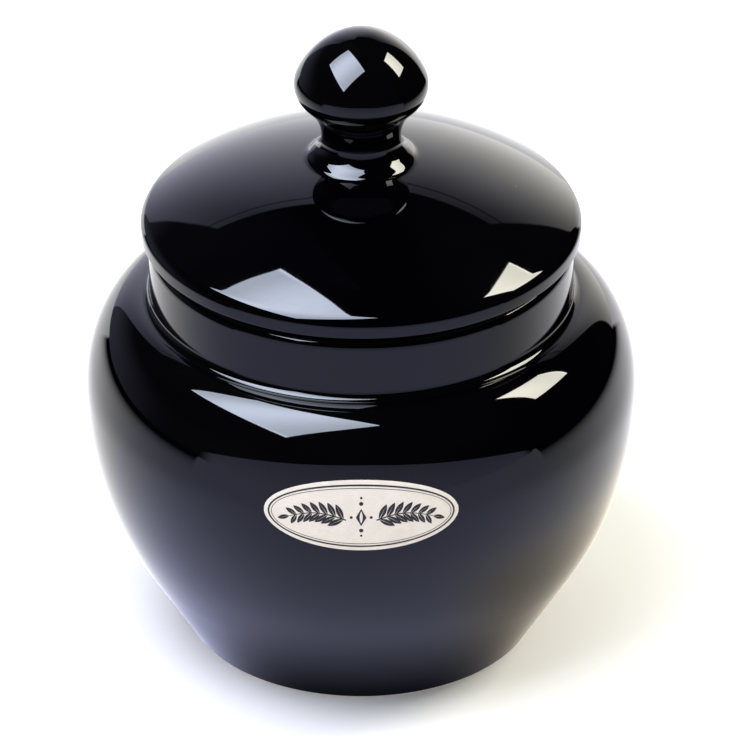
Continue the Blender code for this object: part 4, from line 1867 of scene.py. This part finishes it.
@dataclass
class Surround:
    """The world: white for the camera, soft light for matt surfaces, a studio for the glaze.

    The studio is dark but for its white back wall and a spill of light on the left. A
    direction's slant is its distance to the right for each metre back, and its rise is
    its height for each metre away from the jar.
    """

    sky: float = 0.248
    back: Ramp = Ramp(0.0, 0.6, 0.0, 0.393)
    front: Ramp = Ramp(0.3, 0.95, 0.0, 1.8)
    front_low: Ramp = Ramp(0.1, 0.5, 1.0, 0.0)
    soft: float = 0.012
    left_top: Point = (0.456, 1.51)
    right_top: Point = (0.135, 1.094)
    top_change: Ramp = Ramp(-0.3, -0.12)
    left_edge: Point = (0.286, 0.606)
    right_edge: float = 0.784
    seam: float = 0.14
    seam_line: Ramp = Ramp(0.008, 0.02, 0.6, 0.0)
    left_glow: Ramp = Ramp(-0.736, 0.231, 0.45, 2.16)
    right_glow: Ramp = Ramp(0.376, 0.841, 1.0, 0.445)
    left_fall: Ramp = Ramp(0.168, 1.48, 1.0, 0.353)
    right_fall: Ramp = Ramp(-0.26, 1.064, 1.1, 0.11)
    fall_change: Ramp = Ramp(-0.548, 0.372)
    spill_side: Ramp = Ramp(0.3, 0.6)
    spill_back: Ramp = Ramp(-0.15, 0.65, 0.02, 0.15)
    spill_rise: Ramp = Ramp(0.05, 0.5, 1.0, 0.12)
    dark: float = 0.004
    left_tint: Colour = (1.0, 1.0, 1.42)
    left_tint_end: Ramp = Ramp(-0.75, 0.2)
    right_tint: Colour = (1.03, 1.0, 0.93)
    right_tint_share: Ramp = Ramp(0.0, 0.45)
    high_tint: Colour = (0.97, 1.0, 1.5)
    high_tint_share: Ramp = Ramp(0.15, 1.1, 0.0, 0.6)

    def _wall(self, back: Shade, slant: Shade, rise: Shade, steep: Shade) -> Shade:
        """The back wall's outline, with the seam below its top edge.

        Args:
            back: Share of a direction that goes back.
            slant: Distance to the right for each metre back.
            rise: Height for each metre away.
            steep: Height for each metre back.

        Returns:
            One on the wall and nought beside it.
        """
        side = slant.ramp(*self.top_change)
        left_top = slant * self.left_top[0] + self.left_top[1]
        right_top = slant * self.right_top[0] + self.right_top[1]
        below = left_top * (1 - side) + right_top * side - steep
        left = slant + rise * self.left_edge[0] + self.left_edge[1]
        wall = left.above(self.soft) * (self.right_edge - slant).above(self.soft)
        wall *= below.above(self.soft) * back.above(self.soft)
        return wall * (1 - abs(below - self.seam).ramp(*self.seam_line))

    def _mirrored(self, painter: Painter) -> Shade:
        """The studio as the glaze shows it.

        Args:
            painter: The painter of the world's tree.

        Returns:
            The background.
        """
        right, back, up = painter.split(painter.place("Generated"))
        level_reach = (right * right + back * back).root().most(0.001)
        right, back, rise = right / level_reach, back / level_reach, up / level_reach
        depth = back.most(0.01)
        slant = right / depth
        left_fall, right_fall = rise.ramp(*self.left_fall), rise.ramp(*self.right_fall)
        change = slant.ramp(*self.fall_change)
        glow = slant.ramp(*self.left_glow) * slant.ramp(*self.right_glow)
        glow *= left_fall * (1 - change) + right_fall * change
        spill = (-right).ramp(*self.spill_side) * back.ramp(*self.spill_back)
        spill *= rise.ramp(*self.spill_rise)
        level = (self._wall(back, slant, rise, rise / depth) * glow).most(spill).most(self.dark)
        colour = painter.mix(slant.ramp(*self.left_tint_end), self.left_tint, WHITE)
        colour = painter.mix(slant.ramp(*self.right_tint_share), colour, self.right_tint)
        colour = painter.mix(rise.ramp(*self.high_tint_share), colour, self.high_tint)
        return painter.glow(colour, level, BACKGROUND)

    def build(self) -> None:
        """Makes the world."""
        world = bpy.data.worlds.new("Studio")
        bpy.context.scene.world = world
        world.use_nodes = True
        painter = Painter(world.node_tree)
        _, back, up = painter.split(painter.place("Generated"))
        soft_light = back.ramp(*self.back) + self.sky
        soft_light += (-back).ramp(*self.front) * up.ramp(*self.front_low)
        soft_light = painter.glow(WHITE, soft_light, BACKGROUND)
        lit = painter.blend(painter.ray("Is Glossy Ray"), soft_light, self._mirrored(painter))
        straight = painter.ray("Is Camera Ray").most(painter.ray("Is Transmission Ray"))
        shown = painter.blend(straight, lit, painter.glow(WHITE, 1.0, BACKGROUND))
        painter.show(shown, "ShaderNodeOutputWorld")


@dataclass
class Studio:
    """The stage, the light and the camera of the photograph."""

    camera_place: Colour = (0.0, -1.6087, 1.0179)
    camera_pitch: float = 30.609
    focal_pixels: float = 7612.2
    frame_pixels: float = 750.0
    axis_pixel: float = 361.2
    sensor: float = 36.0

    def _camera(self) -> None:
        """Sets the camera at the photograph's viewing angle."""
        data = bpy.data.cameras.new("Camera")
        data.sensor_width = self.sensor
        data.lens = self.focal_pixels / self.frame_pixels * self.sensor
        data.shift_x = (self.frame_pixels / 2 - self.axis_pixel) / self.frame_pixels
        made = hang("Camera", data)
        made.location = self.camera_place
        made.rotation_euler = (math.radians(90 - self.camera_pitch), 0.0, 0.0)
        bpy.context.scene.camera = made

    def build(self) -> None:
        """Makes the floor, the card, the surround, the softboxes and the camera."""
        PaleFloor().build()
        FrontCard().build()
        Surround().build()
        Softbox(
            "left_softbox",
            centre=(-0.554, -0.154, 1.166),
            across=(0.578, 0.135, 0.564),
            down=(0.787, -0.853, -0.568),
            colour=(0.74, 0.82, 1.0),
            bright=17.8,
            dim=10.7,
            spot=(-0.1, 0.05),
            spread=(0.5, 2.0),
            light=5.6,
            light_colour=(0.82, 0.85, 1.0),
        ).build()
        Softbox(
            "right_softbox",
            centre=(0.935, 0.239, 0.858),
            across=(0.176, 0.451, 0.001),
            down=(0.332, -0.05, -0.379),
            colour=(1.0, 0.97, 0.84),
            bright=19.6,
            dim=13.8,
            spot=(-0.5, -0.3),
            spread=(1.0, 0.6),
            light=12.6,
            light_colour=(1.0, 0.954, 0.756),
        ).build()
        self._camera()
        bpy.context.scene.view_settings.view_transform = "Standard"


def main() -> None:
    """Builds the jar from the foot up, then the studio."""
    logging.basicConfig(level=logging.INFO, format="%(message)s")
    glaze = BlackGlaze()
    pot = JarBody()
    pot.build(glaze, BareClay())
    Label(pot).build(LabelPaper(), RaisedInk())
    seal = Seal(pot)
    lid = Lid(underside=seal.leaf_top + SEAT_GAP, groove_radius=seal.inner_radius - SEAT_GAP)
    seal.build(lid, SoftRubber())
    lid.build(glaze)
    Humidifier(lid).build(StampedSteel(), NickelPlate(), MouldedPlastic(), WetFoam())
    Studio().build()


if __name__ == "__main__":
    main()
